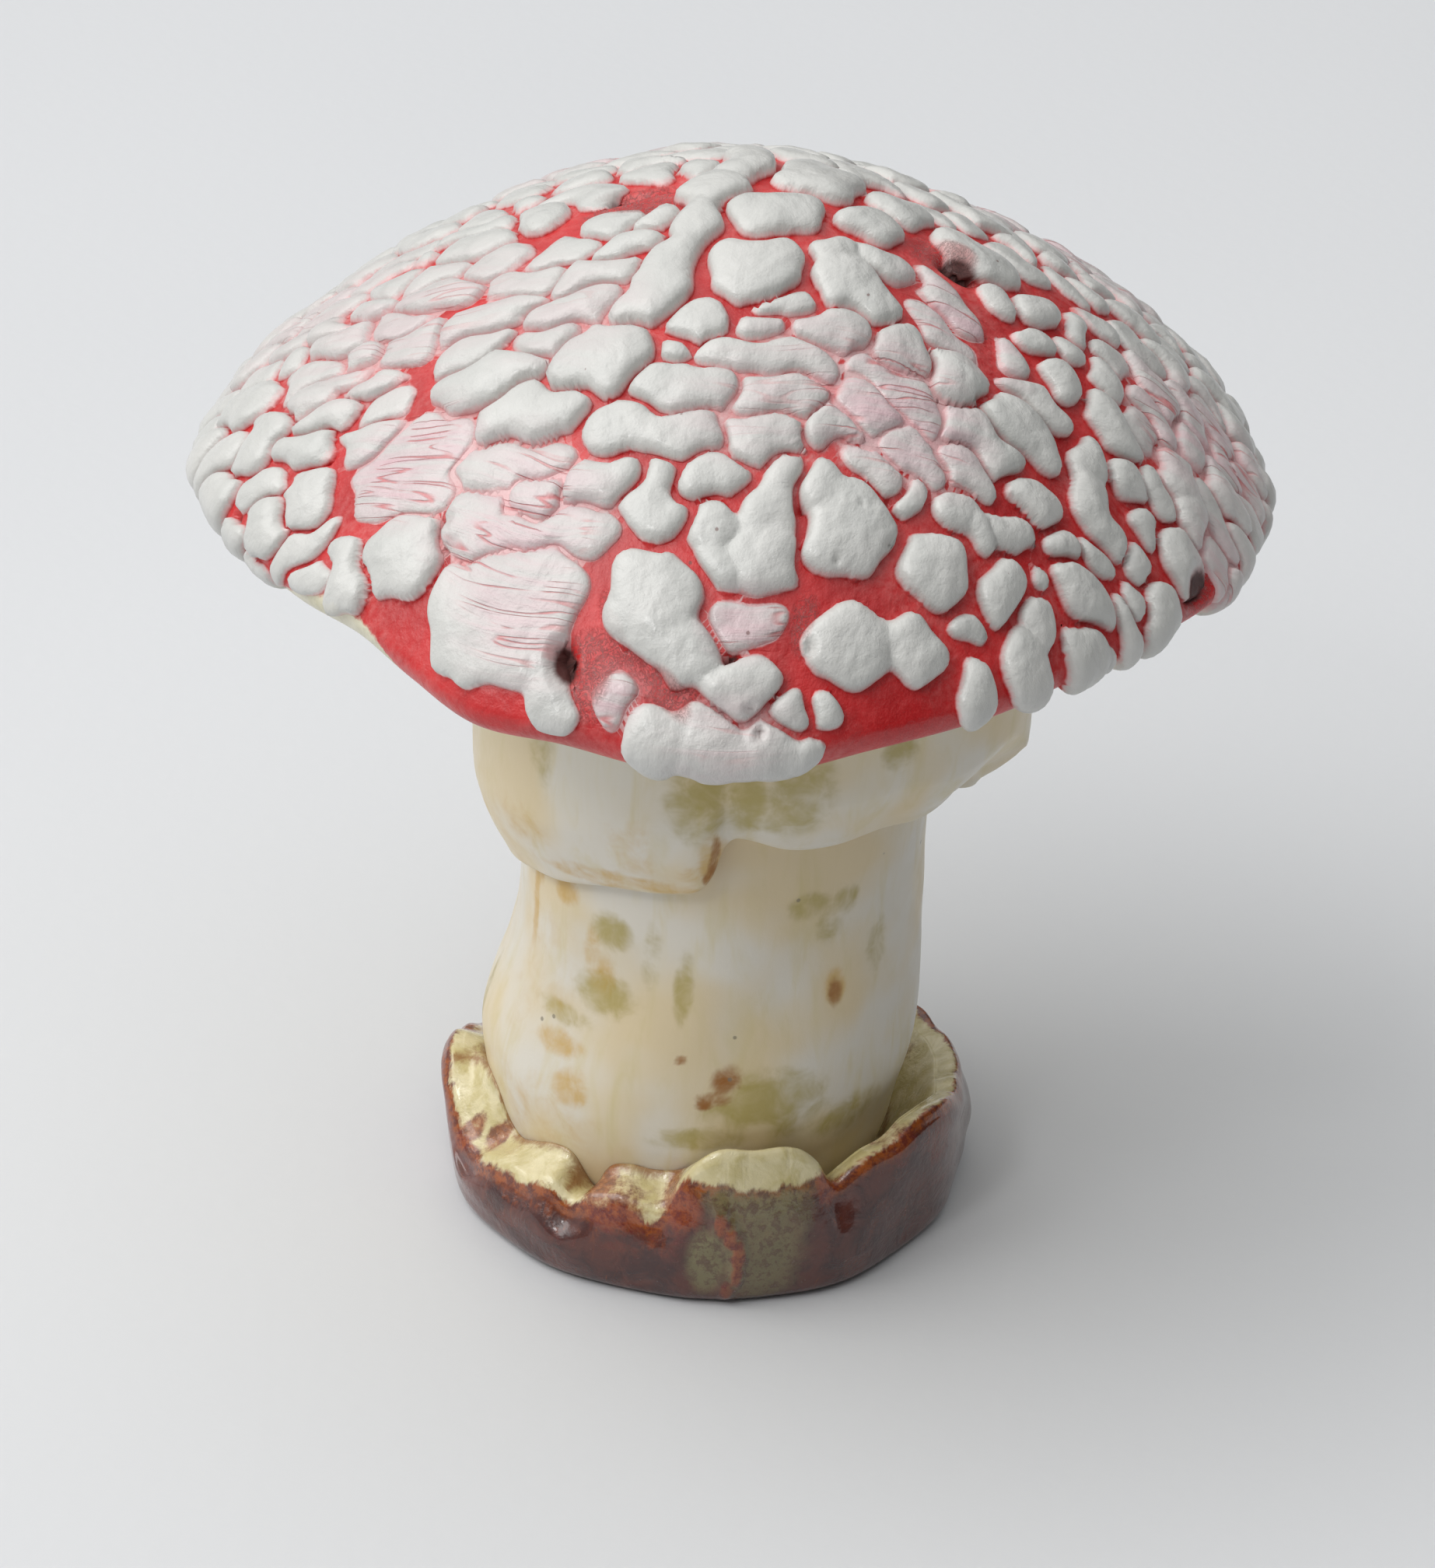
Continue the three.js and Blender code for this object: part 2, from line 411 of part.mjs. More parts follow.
// How deep a map point lies inside its island, and which island. Neighbours share out the ground
// between them and leave a crack; the wavy shift gives the melted, uneven edge.
function glazeAt(x, y) {
  const waver = ([shift, waves, bend, bends, start], u, v) => (
    u + shift * Math.sin(waves * v + bend * Math.sin(bends * u) + start));
  const wx = waver(WAVER[0], x, y);
  const wy = waver(WAVER[1], y, x);
  let best = -9;
  let second = -9;
  let island = null;
  for (const g of GLAZE) {
    if (wx < g.box.min.x || wx > g.box.max.x || wy < g.box.min.y || wy > g.box.max.y) continue;
    let d = -9;
    for (const lobe of g.lobes) {
      const q = inLobe(wx, wy, lobe);
      d = Math.max(d, q) + LOBE_BLEND * Math.max(0, 1 - Math.abs(d - q) / LOBE_BLEND) ** 2 / 4;
    }
    if (d > best) [second, best, island] = [best, d, g];
    else if (d > second) second = d;
  }
  const grow = GROW[0] + GROW[1] * packedAt(x, y);
  const [own, shared] = [best + grow, (best - second - CRACK) / CRACK_SHARE];
  const corner = CORNER * Math.max(0, 1 - Math.abs(own - shared) / CORNER) ** 2 / 4;
  return { depth: Math.min(own, shared) - corner, island };
}

function reliefAt({ depth, island }) {
  if (depth <= 0) return 0;
  const t = Math.min(depth / FOOT_ROUND, 1);
  const top = Math.min(depth / TOP_ROUND, 1);
  return island.relief * (EDGE_SHARE * Math.sqrt(1 - (1 - t) ** 2) + (1 - EDGE_SHARE) * top);
}

// Points are laid where the skin turns: round the foot of every island, on its shoulder and its
// crown, and thinly over bare red. Their flat map is then divided into the best-shaped triangles.
function cap() {
  const chosen = [];
  const table = new Map();
  const cellsNear = function* (x, y) {
    const [i, j] = [Math.floor(x / CELL), Math.floor(y / CELL)];
    for (let a = i - 1; a <= i + 1; a++) for (let b = j - 1; b <= j + 1; b++) yield* table.get(a * 1000 + b) ?? [];
  };
  const put = (p) => {
    const key = Math.floor(p.x / CELL) * 1000 + Math.floor(p.y / CELL);
    if (!table.has(key)) table.set(key, []);
    table.get(key).push(p);
    chosen.push(p);
  };
  const clear = (x, y, test) => {
    for (const q of cellsNear(x, y)) if (Math.hypot(q.x - x, q.y - y) < test(q)) return false;
    return true;
  };

  for (let i = 0; i < RIM_STEPS; i++) {
    const a = 2 * Math.PI * i / RIM_STEPS;
    put({ x: MAP_EDGE * Math.cos(a), y: MAP_EDGE * Math.sin(a), kind: 'edge', relief: 0 });
  }

  const scan = [];
  const half = Math.ceil(MAP_EDGE / SCAN);
  for (let j = -half; j <= half; j++) {
    for (let i = -half; i <= half; i++) {
      const [x, y] = [i * SCAN, j * SCAN];
      if (Math.hypot(x, y) < MAP_EDGE - 1.2) scan.push({ x, y, ...glazeAt(x, y) });
    }
  }
  const uphill = (x, y) => {
    const e = 0.05;
    const here = glazeAt(x, y).depth;
    return [(glazeAt(x + e, y).depth - here) / e, (glazeAt(x, y + e).depth - here) / e];
  };
  const slideTo = (x, y, depth) => {
    for (let k = 0; k < 3; k++) {
      const [gx, gy] = uphill(x, y);
      const step = (depth - glazeAt(x, y).depth) / Math.max(gx * gx + gy * gy, 0.2);
      x += gx * step;
      y += gy * step;
    }
    const q = { x, y, ...glazeAt(x, y) };
    return Math.abs(q.depth - depth) < 0.1 && Math.hypot(x, y) < MAP_EDGE - 1 ? q : null;
  };
  const putFoot = (q, spacing) => {
    const taken = (o) => (
      o.kind === 'edge' ? EDGE_GAP : o.island === q.island && o.kind === 'foot' ? spacing : LEAST_GAP);
    if (!clear(q.x, q.y, taken)) return null;
    put({ ...q, kind: 'foot', relief: 0 });
    const [gx, gy] = uphill(q.x, q.y);
    const g = Math.hypot(gx, gy) || 1;
    const s = slideTo(q.x + gx / g * SHOULDER_DEPTH, q.y + gy / g * SHOULDER_DEPTH, SHOULDER_DEPTH);
    const free = (o) => (o.island === s.island && o.kind === 'shoulder' ? SHOULDER_SPACING : 0.5);
    if (s && clear(s.x, s.y, free)) put({ ...s, kind: 'shoulder', relief: reliefAt(s) });
    return [gx / g, gy / g];
  };

  for (const p of scan.filter((s) => Math.abs(s.depth) < 0.4)) {
    const q = slideTo(p.x, p.y, 0);
    const slope = q && putFoot(q, FOOT_SPACING);
    if (!slope) continue;
    for (let t = 0.3; t < 2 * CRACK; t += 0.1) {
      const across = { x: q.x - slope[0] * t, y: q.y - slope[1] * t };
      const other = glazeAt(across.x, across.y);
      if (other.depth < 0 || other.island === q.island) continue;
      const facing = slideTo(across.x, across.y, 0);
      if (facing) putFoot(facing, FOOT_SPACING * FACING_SHARE);
      break;
    }
  }
  for (const p of scan.filter((s) => s.depth > THIN_DEPTH).sort((a, b) => b.depth - a.depth)) {
    const raised = (o) => o.island === p.island && o.kind !== 'foot';
    const wide = p.depth > CROWN_DEPTH;
    const ok = clear(p.x, p.y, (o) => (wide ? (o.kind === 'crown' ? CROWN_SPACING : 1) : raised(o) ? 2 : LEAST_GAP));
    if (ok) put({ ...p, kind: 'crown', relief: reliefAt(p) });
  }
  for (const p of scan.filter((s) => s.depth < -0.8)) {
    const ok = clear(p.x, p.y, (o) => (o.kind === 'ground' || o.kind === 'edge' ? GROUND_SPACING : 1.1));
    if (ok) put({ ...p, kind: 'ground', relief: 0 });
  }

  // the lower hull of the points lifted onto a bowl is their best-shaped triangulation
  const lifted = chosen.map((p) => new THREE.Vector3(p.x, p.y, (p.x * p.x + p.y * p.y) / MAP_EDGE));
  const number = new Map(lifted.map((v, i) => [v, i]));
  const faces = [];
  for (const face of new ConvexHull().setFromPoints(lifted).faces) {
    if (face.normal.z > -1e-6) continue;
    const [a, b, c] = [face.edge, face.edge.next, face.edge.prev].map((edge) => number.get(edge.head().point));
    faces.push([c, b, a]);
  }

  const mesh = { points: chosen.map((p) => skin(p.x, p.y, p.relief)), faces, n: RIM_STEPS };
  let ring = 0;
  for (const [r, z] of [[UNDER_RADIUS, SEAT_HEIGHT - 0.6], [SEAT_RADIUS, SEAT_HEIGHT]]) {
    const start = mesh.points.length;
    for (let i = 0; i < RIM_STEPS; i++) {
      const a = 2 * Math.PI * i / RIM_STEPS;
      mesh.points.push(new THREE.Vector3(CAP_AXIS_X + r * Math.cos(a), r * Math.sin(a), z));
      const j = (i + 1) % RIM_STEPS;
      mesh.faces.push([ring + i, start + j, ring + j], [ring + i, start + i, start + j]);
    }
    ring = start;
  }
  closeWith(mesh, ring, new THREE.Vector3(CAP_AXIS_X, 0, SEAT_HEIGHT), false);
  return mesh;
}

// ---- Stem ----
function stem() {
  const outline = (a) => STEM.map(([z, r, x]) => new THREE.Vector3(x + r * Math.cos(a), r * Math.sin(a), z));
  const mesh = turned(Array.from({ length: STEM_STEPS }, (_, i) => outline(2 * Math.PI * i / STEM_STEPS)));
  closeWith(mesh, 0, new THREE.Vector3(STEM[0][2], 0, STEM[0][0]), false);
  closeWith(mesh, (STEM.length - 1) * STEM_STEPS, new THREE.Vector3(STEM.at(-1)[2], 0, STEM.at(-1)[0]), true);
  return mesh;
}

// distance from the upright line x = axis to the outside of the stem, plus the joint
function stemReach(azimuth, z, axis) {
  const [r, x] = along(STEM, z);
  const off = x - axis;
  return off * Math.cos(azimuth) + Math.sqrt(r * r - (off * Math.sin(azimuth)) ** 2) + JOINT + 0.1;
}

// ---- Collar ----
// One torn strip wrapped round the top of the stem; its two ends meet at the front in a step.
function collar() {
  const top = SEAT_HEIGHT - JOINT;
  const outline = (degrees) => {
    const a = rad(degrees);
    const [edge, out] = around(COLLAR, degrees);
    const at = (r, z) => new THREE.Vector3(COLLAR_AXIS_X + r * Math.cos(a), r * Math.sin(a), z);
    const reach = (z) => stemReach(a, z, COLLAR_AXIS_X);
    const thick = COLLAR_EDGE[0] + COLLAR_EDGE[1] * Math.max(Math.cos(a - COLLAR_RIGHT), 0);
    const height = COLLAR_SWELL[0] - COLLAR_SWELL[1] * Math.cos(a);
    const lip = reach(edge) + thick;
    const swell = (share) => lip + (Math.max(out, lip + 1) - lip) * Math.sin(share * Math.PI / 2);
    return [
      at(reach(edge + 0.6), edge + 0.6),
      at(lip - thick / 2, edge),
      at(lip, edge + 1),
      ...[0.3, 0.65, 1].map((share) => at(swell(share), edge + 1 + height * share)),
      at(Math.max(out, lip + 1), top),
      at(reach(top), top),
      ...COLLAR_HOLD.map((z) => at(reach(z), z)),
    ];
  };
  return turned(Array.from({ length: COLLAR_STEPS }, (_, i) => outline(360 * i / COLLAR_STEPS)), true);
}

// ---- Cup ----
function cup() {
  const outline = (degrees) => {
    const a = rad(degrees);
    const [lip, out, thick, meet] = around(CUP, degrees);
    const at = (r, z) => new THREE.Vector3(CUP_AXIS_X + r * Math.cos(a), r * Math.sin(a), z);
    const touch = stemReach(a, meet, CUP_AXIS_X);
    const slope = (share) => {
      const r = Math.max(out - thick * share, touch + 0.3 * (1 - share));
      return at(r, lip + (meet - lip) * Math.min((out - r) / (out - touch), 1) ** 2);
    };
    const wall = CUP_RADIUS + CUP_WAVES.reduce((sum, [times, deep, start]) => sum + deep * Math.sin(times * a + start), 0);
    const low = (meet + CUP_FLOOR) / 2;
    return [
      at(CUP_FOOT_RADIUS, 0),
      at(CUP_FOOT_RADIUS + (wall - CUP_FOOT_RADIUS) * 0.7, CUP_EDGE_HEIGHT * 0.3),
      at(wall, CUP_EDGE_HEIGHT),
      at(wall + 0.2, (lip + CUP_EDGE_HEIGHT) / 2),
      at(out + 0.4, lip - CUP_LIP_DROP[0]),
      at(out - 0.3, lip - CUP_LIP_DROP[1]),
      slope(0.5),
      slope(1),
      at(touch, meet),
      at(stemReach(a, low, CUP_AXIS_X), low),
      at(stemReach(a, CUP_FLOOR + JOINT, CUP_AXIS_X), CUP_FLOOR),
    ];
  };
  const outlines = Array.from({ length: CUP_STEPS }, (_, i) => outline(360 * i / CUP_STEPS));
  const mesh = turned(outlines);
  closeWith(mesh, 0, new THREE.Vector3(CUP_AXIS_X, 0, 0), false);
  closeWith(mesh, (outlines[0].length - 1) * CUP_STEPS, new THREE.Vector3(CUP_AXIS_X, 0, CUP_FLOOR), true);
  return mesh;
}

const mushroom = new THREE.Group();
mushroom.name = 'ceramic_fly_agaric';
mushroom.add(
  solid('cap', cap(), RED_GLAZE),
  solid('collar', collar(), CREAM_GLAZE),
  solid('stem', stem(), CREAM_GLAZE),
  solid('cup', cup(), BROWN_GLAZE),
);
export default mushroom;
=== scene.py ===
import math

import bpy
import numpy as np
from mathutils import Matrix, Vector


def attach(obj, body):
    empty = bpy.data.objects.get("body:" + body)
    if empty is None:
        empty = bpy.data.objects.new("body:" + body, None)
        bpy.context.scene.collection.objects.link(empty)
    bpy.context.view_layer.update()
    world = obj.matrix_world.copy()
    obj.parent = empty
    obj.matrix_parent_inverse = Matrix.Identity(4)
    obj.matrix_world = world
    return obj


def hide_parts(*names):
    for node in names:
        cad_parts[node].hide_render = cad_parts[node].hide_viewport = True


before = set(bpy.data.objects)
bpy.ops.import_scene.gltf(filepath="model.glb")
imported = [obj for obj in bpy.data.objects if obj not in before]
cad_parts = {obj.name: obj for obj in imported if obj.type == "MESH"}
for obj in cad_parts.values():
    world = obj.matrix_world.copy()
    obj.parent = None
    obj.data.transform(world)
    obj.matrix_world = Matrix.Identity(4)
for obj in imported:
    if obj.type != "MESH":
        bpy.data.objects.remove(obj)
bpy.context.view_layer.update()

scene = bpy.context.scene

# Camera. It looks down on the front of the mushroom from a little above the cap, and is
# rolled by a few degrees, as the one that took the photograph was.
AIM = Vector((-0.001, -0.0122, 0.060))
DISTANCE = 0.625
DOWN = math.radians(31)
ROLL = math.radians(3)
LENS = 125

ahead = Vector((0, math.cos(DOWN), -math.sin(DOWN)))
raised = Vector((0, math.sin(DOWN), math.cos(DOWN)))
across = math.cos(ROLL) * Vector((1, 0, 0)) + math.sin(ROLL) * raised
upward = math.cos(ROLL) * raised - math.sin(ROLL) * Vector((1, 0, 0))


def put(name, data, finish=None):
    """new object in the scene, with its material"""
    item = bpy.data.objects.new(name, data)
    if finish:
        data.materials.append(finish)
    scene.collection.objects.link(item)
    return item


camera = put("camera", bpy.data.cameras.new("camera"))
turned = Matrix((across, upward, -ahead)).transposed().to_4x4()
turned.translation = AIM - DISTANCE * ahead
camera.matrix_world = turned
camera.data.lens = LENS
camera.data.sensor_width = 36
camera.data.clip_start = 0.01
scene.camera = camera

# Cap. A low dome of clay under red glaze. The thick white glaze brushed over it drew back in the
# kiln into raised islands with red cracks between them, and burst in a few places.
MM = 0.001
SEED = 11
CAP_STEPS = 290  # squares across the cap's flat map
CAP_RIM = [
    # azimuth in degrees, radius and height of the widest line
    [0, 58.8, 92.4], [25, 60.6, 93.6], [45, 60.8, 94], [70, 59, 93.6], [95, 59, 94.5], [120, 60, 94],
    [150, 61.4, 93.2], [168, 62.6, 92], [180, 62.4, 91.8], [195, 59.4, 93], [210, 57, 93], [222, 56.3, 94],
    [232, 57.4, 93], [242, 59.5, 92], [252, 59.5, 92.5], [263, 60.5, 92], [272, 60.5, 92], [285, 58, 93.5],
    [300, 56, 94], [315, 53.6, 93.6], [330, 54, 92.8], [345, 56.8, 92.4],
]
# azimuth, how far the dome sags between crown and rim
CAP_SAG = [(0, 0.5), (35, 1.6), (75, 0.8), (110, 0.1), (145, 0.6), (180, 0.8), (215, 0), (315, 0)]
CAP_AXIS_X = 0.5
CROWN_HEIGHT = 128.5
CROWN_SHIFT = (1, 2)
MAP_RADIUS, MAP_RISE = 60, 37  # dome that the flat map is measured on
LIP_REACH, LIP_DROP, LIP_ARC = 3.2, 3.4, 5.2
SEAT_HEIGHT = 91
UNDERSIDE = [(46, 90.4), (35, 91), (24, 91)]
UNDER_STEPS = 3  # rings between two of those

# white islands on the flat map: relief, then lobes (x, y, half length, half width, turn)
ISLANDS = [
    # front middle
    [2.3, [-10, -56.7, 5.6, 5.4, 100], [-6.5, -61.3, 4.4, 3.6, 140], [0.5, -65.2, 4.2, 3.4, 10]],
    [1.9, [-4.3, -48.2, 3, 3.2, 0], [-3, -52.8, 2.6, 2.6, 0], [2.6, -51.8, 4.2, 4.6, 90],
     [2.2, -46.3, 3.9, 3.4, 0], [3.4, -42.3, 2.2, 2.4, 90]],
    [1, [0.5, -58.8, 4.4, 3, 0]],
    [2.4, [12.1, -48.4, 6.1, 5.5, 20], [8.4, -43.9, 3.2, 3.2, 0], [7.5, -50.4, 2.2, 2.2, 0]],
    [2.2, [13.6, -61.5, 5.9, 4.2, 0], [22.3, -61, 4.2, 3.4, -15]],
    [1.6, [-15.2, -67, 2.3, 2.1, 30]],
    [1.7, [-10, -71.3, 3.9, 3.2, 0], [-3, -71.2, 4.2, 3.6, 0], [3.5, -71.9, 4.6, 2.8, 0],
     [8.6, -72.2, 3, 1.7, 0]],
    [1.8, [6.8, -68.1, 2.5, 2.3, 60]],
    [1.5, [11, -68.5, 2.3, 1.7, -60]],
    # front right
    [2.3, [23.8, -51.4, 4.8, 4.3, -15]],
    [2.1, [34.3, -51.3, 4.1, 3.2, 80]],
    [1.5, [29.7, -57.3, 2.3, 1.5, 0]],
    [2, [40.2, -52.6, 3.2, 2.7, 70], [39.7, -58.6, 5, 3.7, -35]],
    [1.9, [50.5, -52.3, 4.6, 4.1, 0], [54.4, -49.4, 1.8, 1.5, 0]],
    [2.3, [48, -45.2, 6.5, 3.4, 0]],
    [1.9, [32.1, -63.3, 3.8, 2.5, 100]],
    [1.3, [39.9, -46, 2.5, 1.6, -50]],
    [2, [38.5, -37.3, 4.8, 2.8, -8]],
    [1.8, [43.3, -40.8, 2.8, 2.4, 0]],
    [1.8, [35.8, -43.9, 5, 2.2, -5], [26.6, -43.5, 3.1, 2.8, 0], [30.1, -45.5, 2.6, 1.7, -20]],
    [1.8, [19.6, -44, 2.9, 2.2, 80]],
    [2.2, [35.6, -28.3, 5.7, 3.7, -20]],
    [1.9, [37, -22.4, 5, 2.6, -12]],
    [2.2, [25.8, -25.4, 3.9, 3.2, -30]],
    [1.9, [33.1, -34.3, 3.3, 3, 0], [27.5, -32.7, 3.2, 2.6, 0]],
    [1.6, [27.9, -38.5, 3.7, 3.1, -20]],
    [2, [45.3, -26.1, 3.6, 2.3, 90], [46.5, -31.7, 3.6, 3, 90], [49.9, -35, 3.8, 2.6, -30]],
    [2, [51.6, -24, 2.9, 2.8, 0]],
    [2, [56.3, -16.2, 4.3, 3.2, -40], [60.9, -20.9, 3.8, 2.6, -40]],
    [1.6, [54.8, -27.2, 3, 1.8, -60]],
    [1.7, [49.4, -38.7, 3.3, 1.9, -15]],
    [1.5, [55.7, -34.7, 2.6, 2, -40]],
    [1.5, [56.3, -40.1, 2.7, 2.2, -30]],
    [2, [62, -27.2, 4.1, 3.3, -60]],
    [1.9, [61.3, -38.5, 4.3, 3.3, 100]],
    [1.9, [46.7, -16.9, 4.8, 3, -25]],
    [1.9, [39.2, -15.9, 3.4, 2.6, 110]],
    [1.8, [34.7, -12.3, 2.7, 2, -10]],
    [1.7, [32.9, -17.9, 3.3, 1.9, -65]],
    [1.9, [33.7, -6.5, 3.1, 3.3, 0]],
    [1.6, [38.7, -9.5, 2.4, 1.7, -10]],
    [1.7, [39.1, -4.4, 2.7, 2, -60]],
    # crown
    [2.3, [-13.6, -19.4, 4.5, 3.4, 40], [-10.4, -13.4, 3.6, 2.2, 60], [-8, -7, 3.8, 2.6, 70],
     [-6, -1.6, 3.4, 2.6, 60], [-3, 6, 4.6, 3, 70]],
    [1.9, [1, -6.2, 5.7, 3.3, 0]],
    [2.2, [-0.3, -15.6, 5.1, 3.6, 0], [-1.5, -18, 3.2, 2.4, 0]],
    [1.5, [3, -21.3, 3.9, 1.6, 0]],
    [2, [5.3, 3.5, 4.6, 4.6, 0]],
    [2, [12.2, -5.2, 3.6, 2.8, -10]],
    [1.8, [15, 1.8, 3.4, 3.3, 0]],
    [2, [8, -12.2, 3.5, 1.7, 0], [15.5, -12, 4.6, 2, -8], [9.6, -16.8, 4, 3.8, 0],
     [13, -19.6, 3.2, 2.4, -10]],
    [1.9, [8.6, -23.8, 5, 2.6, 0]],
    [1.8, [16.8, -24.6, 4.3, 2.4, -10]],
    [1.8, [-6.5, -23.9, 3.3, 2.4, 20]],
    [1.5, [-0.4, -23.7, 3.7, 1.6, 0]],
    [1.5, [-9.7, -27, 1.9, 1.6, 0]],
    [1.6, [-2.5, -27.6, 4, 2.2, 5], [4, -28, 4.6, 2.3, -3]],
    [1.8, [-8, -32, 5.9, 3, 3]],
    [1.8, [-9, -37.5, 6, 2.6, 0], [-15.5, -36.5, 3.3, 3, 0]],
    [1.5, [2, -32.4, 4.7, 2.9, 0]],
    [1.7, [1, -37.8, 4.7, 3, 0]],
    [2.4, [-18.4, -27.1, 6.3, 3.9, 6]],
    [1.5, [-17, -4.4, 2.9, 1.7, 0]],
    [1.8, [-12.5, -6, 2.5, 1.9, 15]],
    [1.7, [-16.5, -9.6, 3.9, 1.8, 0]],
    [1.7, [-20.4, -13.8, 5.2, 2.3, -3]],
    [1.7, [-21.7, -18.5, 6, 2.2, -3]],
    [1.7, [-25.9, -23.1, 4, 1.8, 0]],
    [1.6, [-7.6, 6.6, 2.8, 2.5, 0]],
    [2, [25.1, -3, 5.4, 3.3, -20]],
    [1.6, [28.7, -8.4, 3, 2.1, -20]],
    # left
    [2.2, [-32.3, -25.6, 6.3, 3, 4]],
    [2.1, [-26.9, -32.8, 7, 3.2, -5]],
    [1.6, [-34.8, -19.2, 3.3, 1.9, 0]],
    [1.7, [-31.3, -14.7, 6, 2, -4]],
    [1.9, [-17, -42.4, 4.3, 2.4, -3]],
    [1.6, [-25.5, -42.7, 3.1, 2.5, -5]],
    [1.8, [-4.3, -43, 4.7, 2.7, 0]],
    [1.8, [-10.8, -46.6, 4.2, 2.9, 0], [-10.5, -43.1, 2.5, 2.2, 0]],
    [1, [-30.3, -38, 8.5, 2.3, -8]],
    [1.2, [-25, -47.3, 9.5, 2.2, -5], [-34.3, -44.4, 3.4, 3.4, 0]],
    [1.3, [-25.5, -53, 6.5, 4.4, -60], [-33.1, -52.7, 6, 4, 0], [-27.6, -59, 5.6, 4.2, 0],
     [-34.6, -57.4, 5.2, 3.8, -20], [-23.5, -66.6, 4, 2.2, -50]],
    [0.8, [-43.4, -33.6, 7.5, 6.4, -35]],
    [1.9, [-45.3, -45.1, 5.3, 4.6, -20]],
    [2.1, [-54.2, -43.8, 5.2, 2.8, 105]],
    [1.8, [-63.1, -12.3, 4, 3.5, 0]],
    [1.6, [-71.8, -2.5, 3.2, 3.6, 90]],
    [1.7, [-70.8, -13.9, 3.4, 3.2, 90]],
    [1.8, [-64.6, -27.6, 5.2, 3.6, 100]],
    [1.6, [-59.1, -27.2, 5.5, 3.2, 100]],
]
# bare red: x, y, half length, half width, turn
BARE = [
    [-6.8, -17.5, 2.6, 6.5, 0], [-14, 0.5, 4.4, 3, 0], [-25.5, -27.9, 1.8, 2.4, 0], [-17, -57.1, 5, 9, 0],
    [-14, -50.6, 4, 2, 0], [8.1, -56.4, 9, 3.4, 0], [24.3, -56.8, 9, 3.2, 0], [22.2, -69.2, 15, 5.5, 5],
    [-30, -71.1, 16, 4.5, 10], [38, -33.8, 3.6, 2.2, 0], [50, -19.7, 2.6, 2, 0],
    [-63.3, -19.5, 2.6, 1.6, -20], [-52.1, -29, 2, 1.7, 0], [-63.3, -39.8, 4, 4, 0],
    [-49.8, -51.4, 5, 5, 0], [-50.7, -57.8, 12, 4.5, -45], [17, -5.6, 2.8, 2.8, 0], [7.8, -2.6, 3, 1.2, 0],
    [6, -59.9, 2.2, 3.6, 0], [-12, -25, 4, 1.5, 10], [28.4, -68.9, 12, 4, 10], [49.9, -62.3, 10, 3.5, 40],
    [23.5, -9.1, 3, 1.8, 0], [-63.6, -39.8, 9, 3.2, -58], [-39, -64.6, 10, 3.2, -31],
    [-18, -73.2, 5.5, 3, 14], [65.6, -28.4, 2.2, 2.6, -20], [40.4, -27.6, 8, 1.2, -40],
]
# the rest is bricks of glaze laid along the brush strokes
STROKE_TURN, STROKE_SWAY = -30, 24
STROKE_BEND = 0.0067  # bend of the thin brush marks at the left
BRICK_PITCH, ROW_PITCH = 8.2, 4.6
BRICK_HALF_LENGTH, BRICK_HALF_WIDTH, BRICK_RELIEF = (3.4, 2.8), (1.9, 0.9), (0.9, 1.0)
BRICK_JITTER = (0.8, 0.4)  # share of those by which a brick strays along and across
BRICK_CLEAR = 1.6  # between a brick's middle and an island read off the cap
BRICK_MARGIN = 1.5  # between a brick's middle and the end of the lip
BRICK_SPARE = 0.03  # share of bricks left out
CRACK, CRACK_PACKED = 0.8, 0.3  # red crack between two islands, loose and packed
CRACK_SHARE = 1.7  # how quickly ground shared by two islands falls to one of them
GROW, GROW_PACKED = 0.5, 2.2  # how far an island spreads past its lobes
LOBE_BLEND = 1.2  # lobes of one island flow together over this distance
LOBE_REACH = 3  # a lobe is looked for this far outside itself
WANDER = (0.5, 0.45)  # how far the islands' outlines wander along x and y
THIN_LOSS = 0.4  # share of its relief that a thin place loses
FAR = -9.0  # depth of a place that no island is near
CORNER = 1.1  # corners between two neighbours are rounded over this distance
SNAP = 0.27  # points this near to an island's foot are moved onto it

# where the islands lie packed with thin cracks between them: x, y, half sizes, turn, how much
PACKED = [
    (-38, -14, 32, 28, 0, 1), (-29, -46, 16, 13, -45, 1), (0, -33.1, 17, 9, 0, 1),
    (19.3, -30.4, 13, 10, -20, 1), (0, 44.2, 70, 36, 0, 1), (63.2, 2, 16, 34, 0, 0.8),
    (-62.1, 18, 30, 44, 0, 1), (-2, -70.4, 12, 5, 0, 0.6),
]
# places where the white is brushed thin and the red shows through: x, y, half sizes, turn, how much
THIN = [
    (-43.4, -33.1, 8.5, 7, -35, 1), (-28.1, -45.2, 10, 8, -10, 0.75), (-27, -55, 9, 7, -50, 0.6),
    (17.2, -33.4, 11, 7, -20, 0.9), (25.6, -17.4, 8, 5, -25, 0.8), (6, -26, 7, 4, 0, 0.35),
    (0, -34.1, 8, 6, 0, 0.35), (-41, -9.2, 14, 10, -15, 0.4), (-22.2, -20.1, 8, 7, 0, 0.3),
    (0.5, -58.8, 4.5, 3.4, 0, 0.8), (-1, -70.4, 7, 4, 0, 0.35), (61.5, -2, 8, 9, 90, 0.7),
    (53.9, -8.3, 9, 6, -60, 0.6), (67.3, -21, 6, 6, 0, 0.5), (-15.2, -67, 3, 3, 0, 0.8),
    (35.3, 30.2, 14, 9, -20, 0.7), (-20.1, 34.1, 15, 9, -10, 0.7), (8, 60.3, 13, 7, 0, 0.6),
    (-55, 12, 12, 8, -20, 0.35),
]
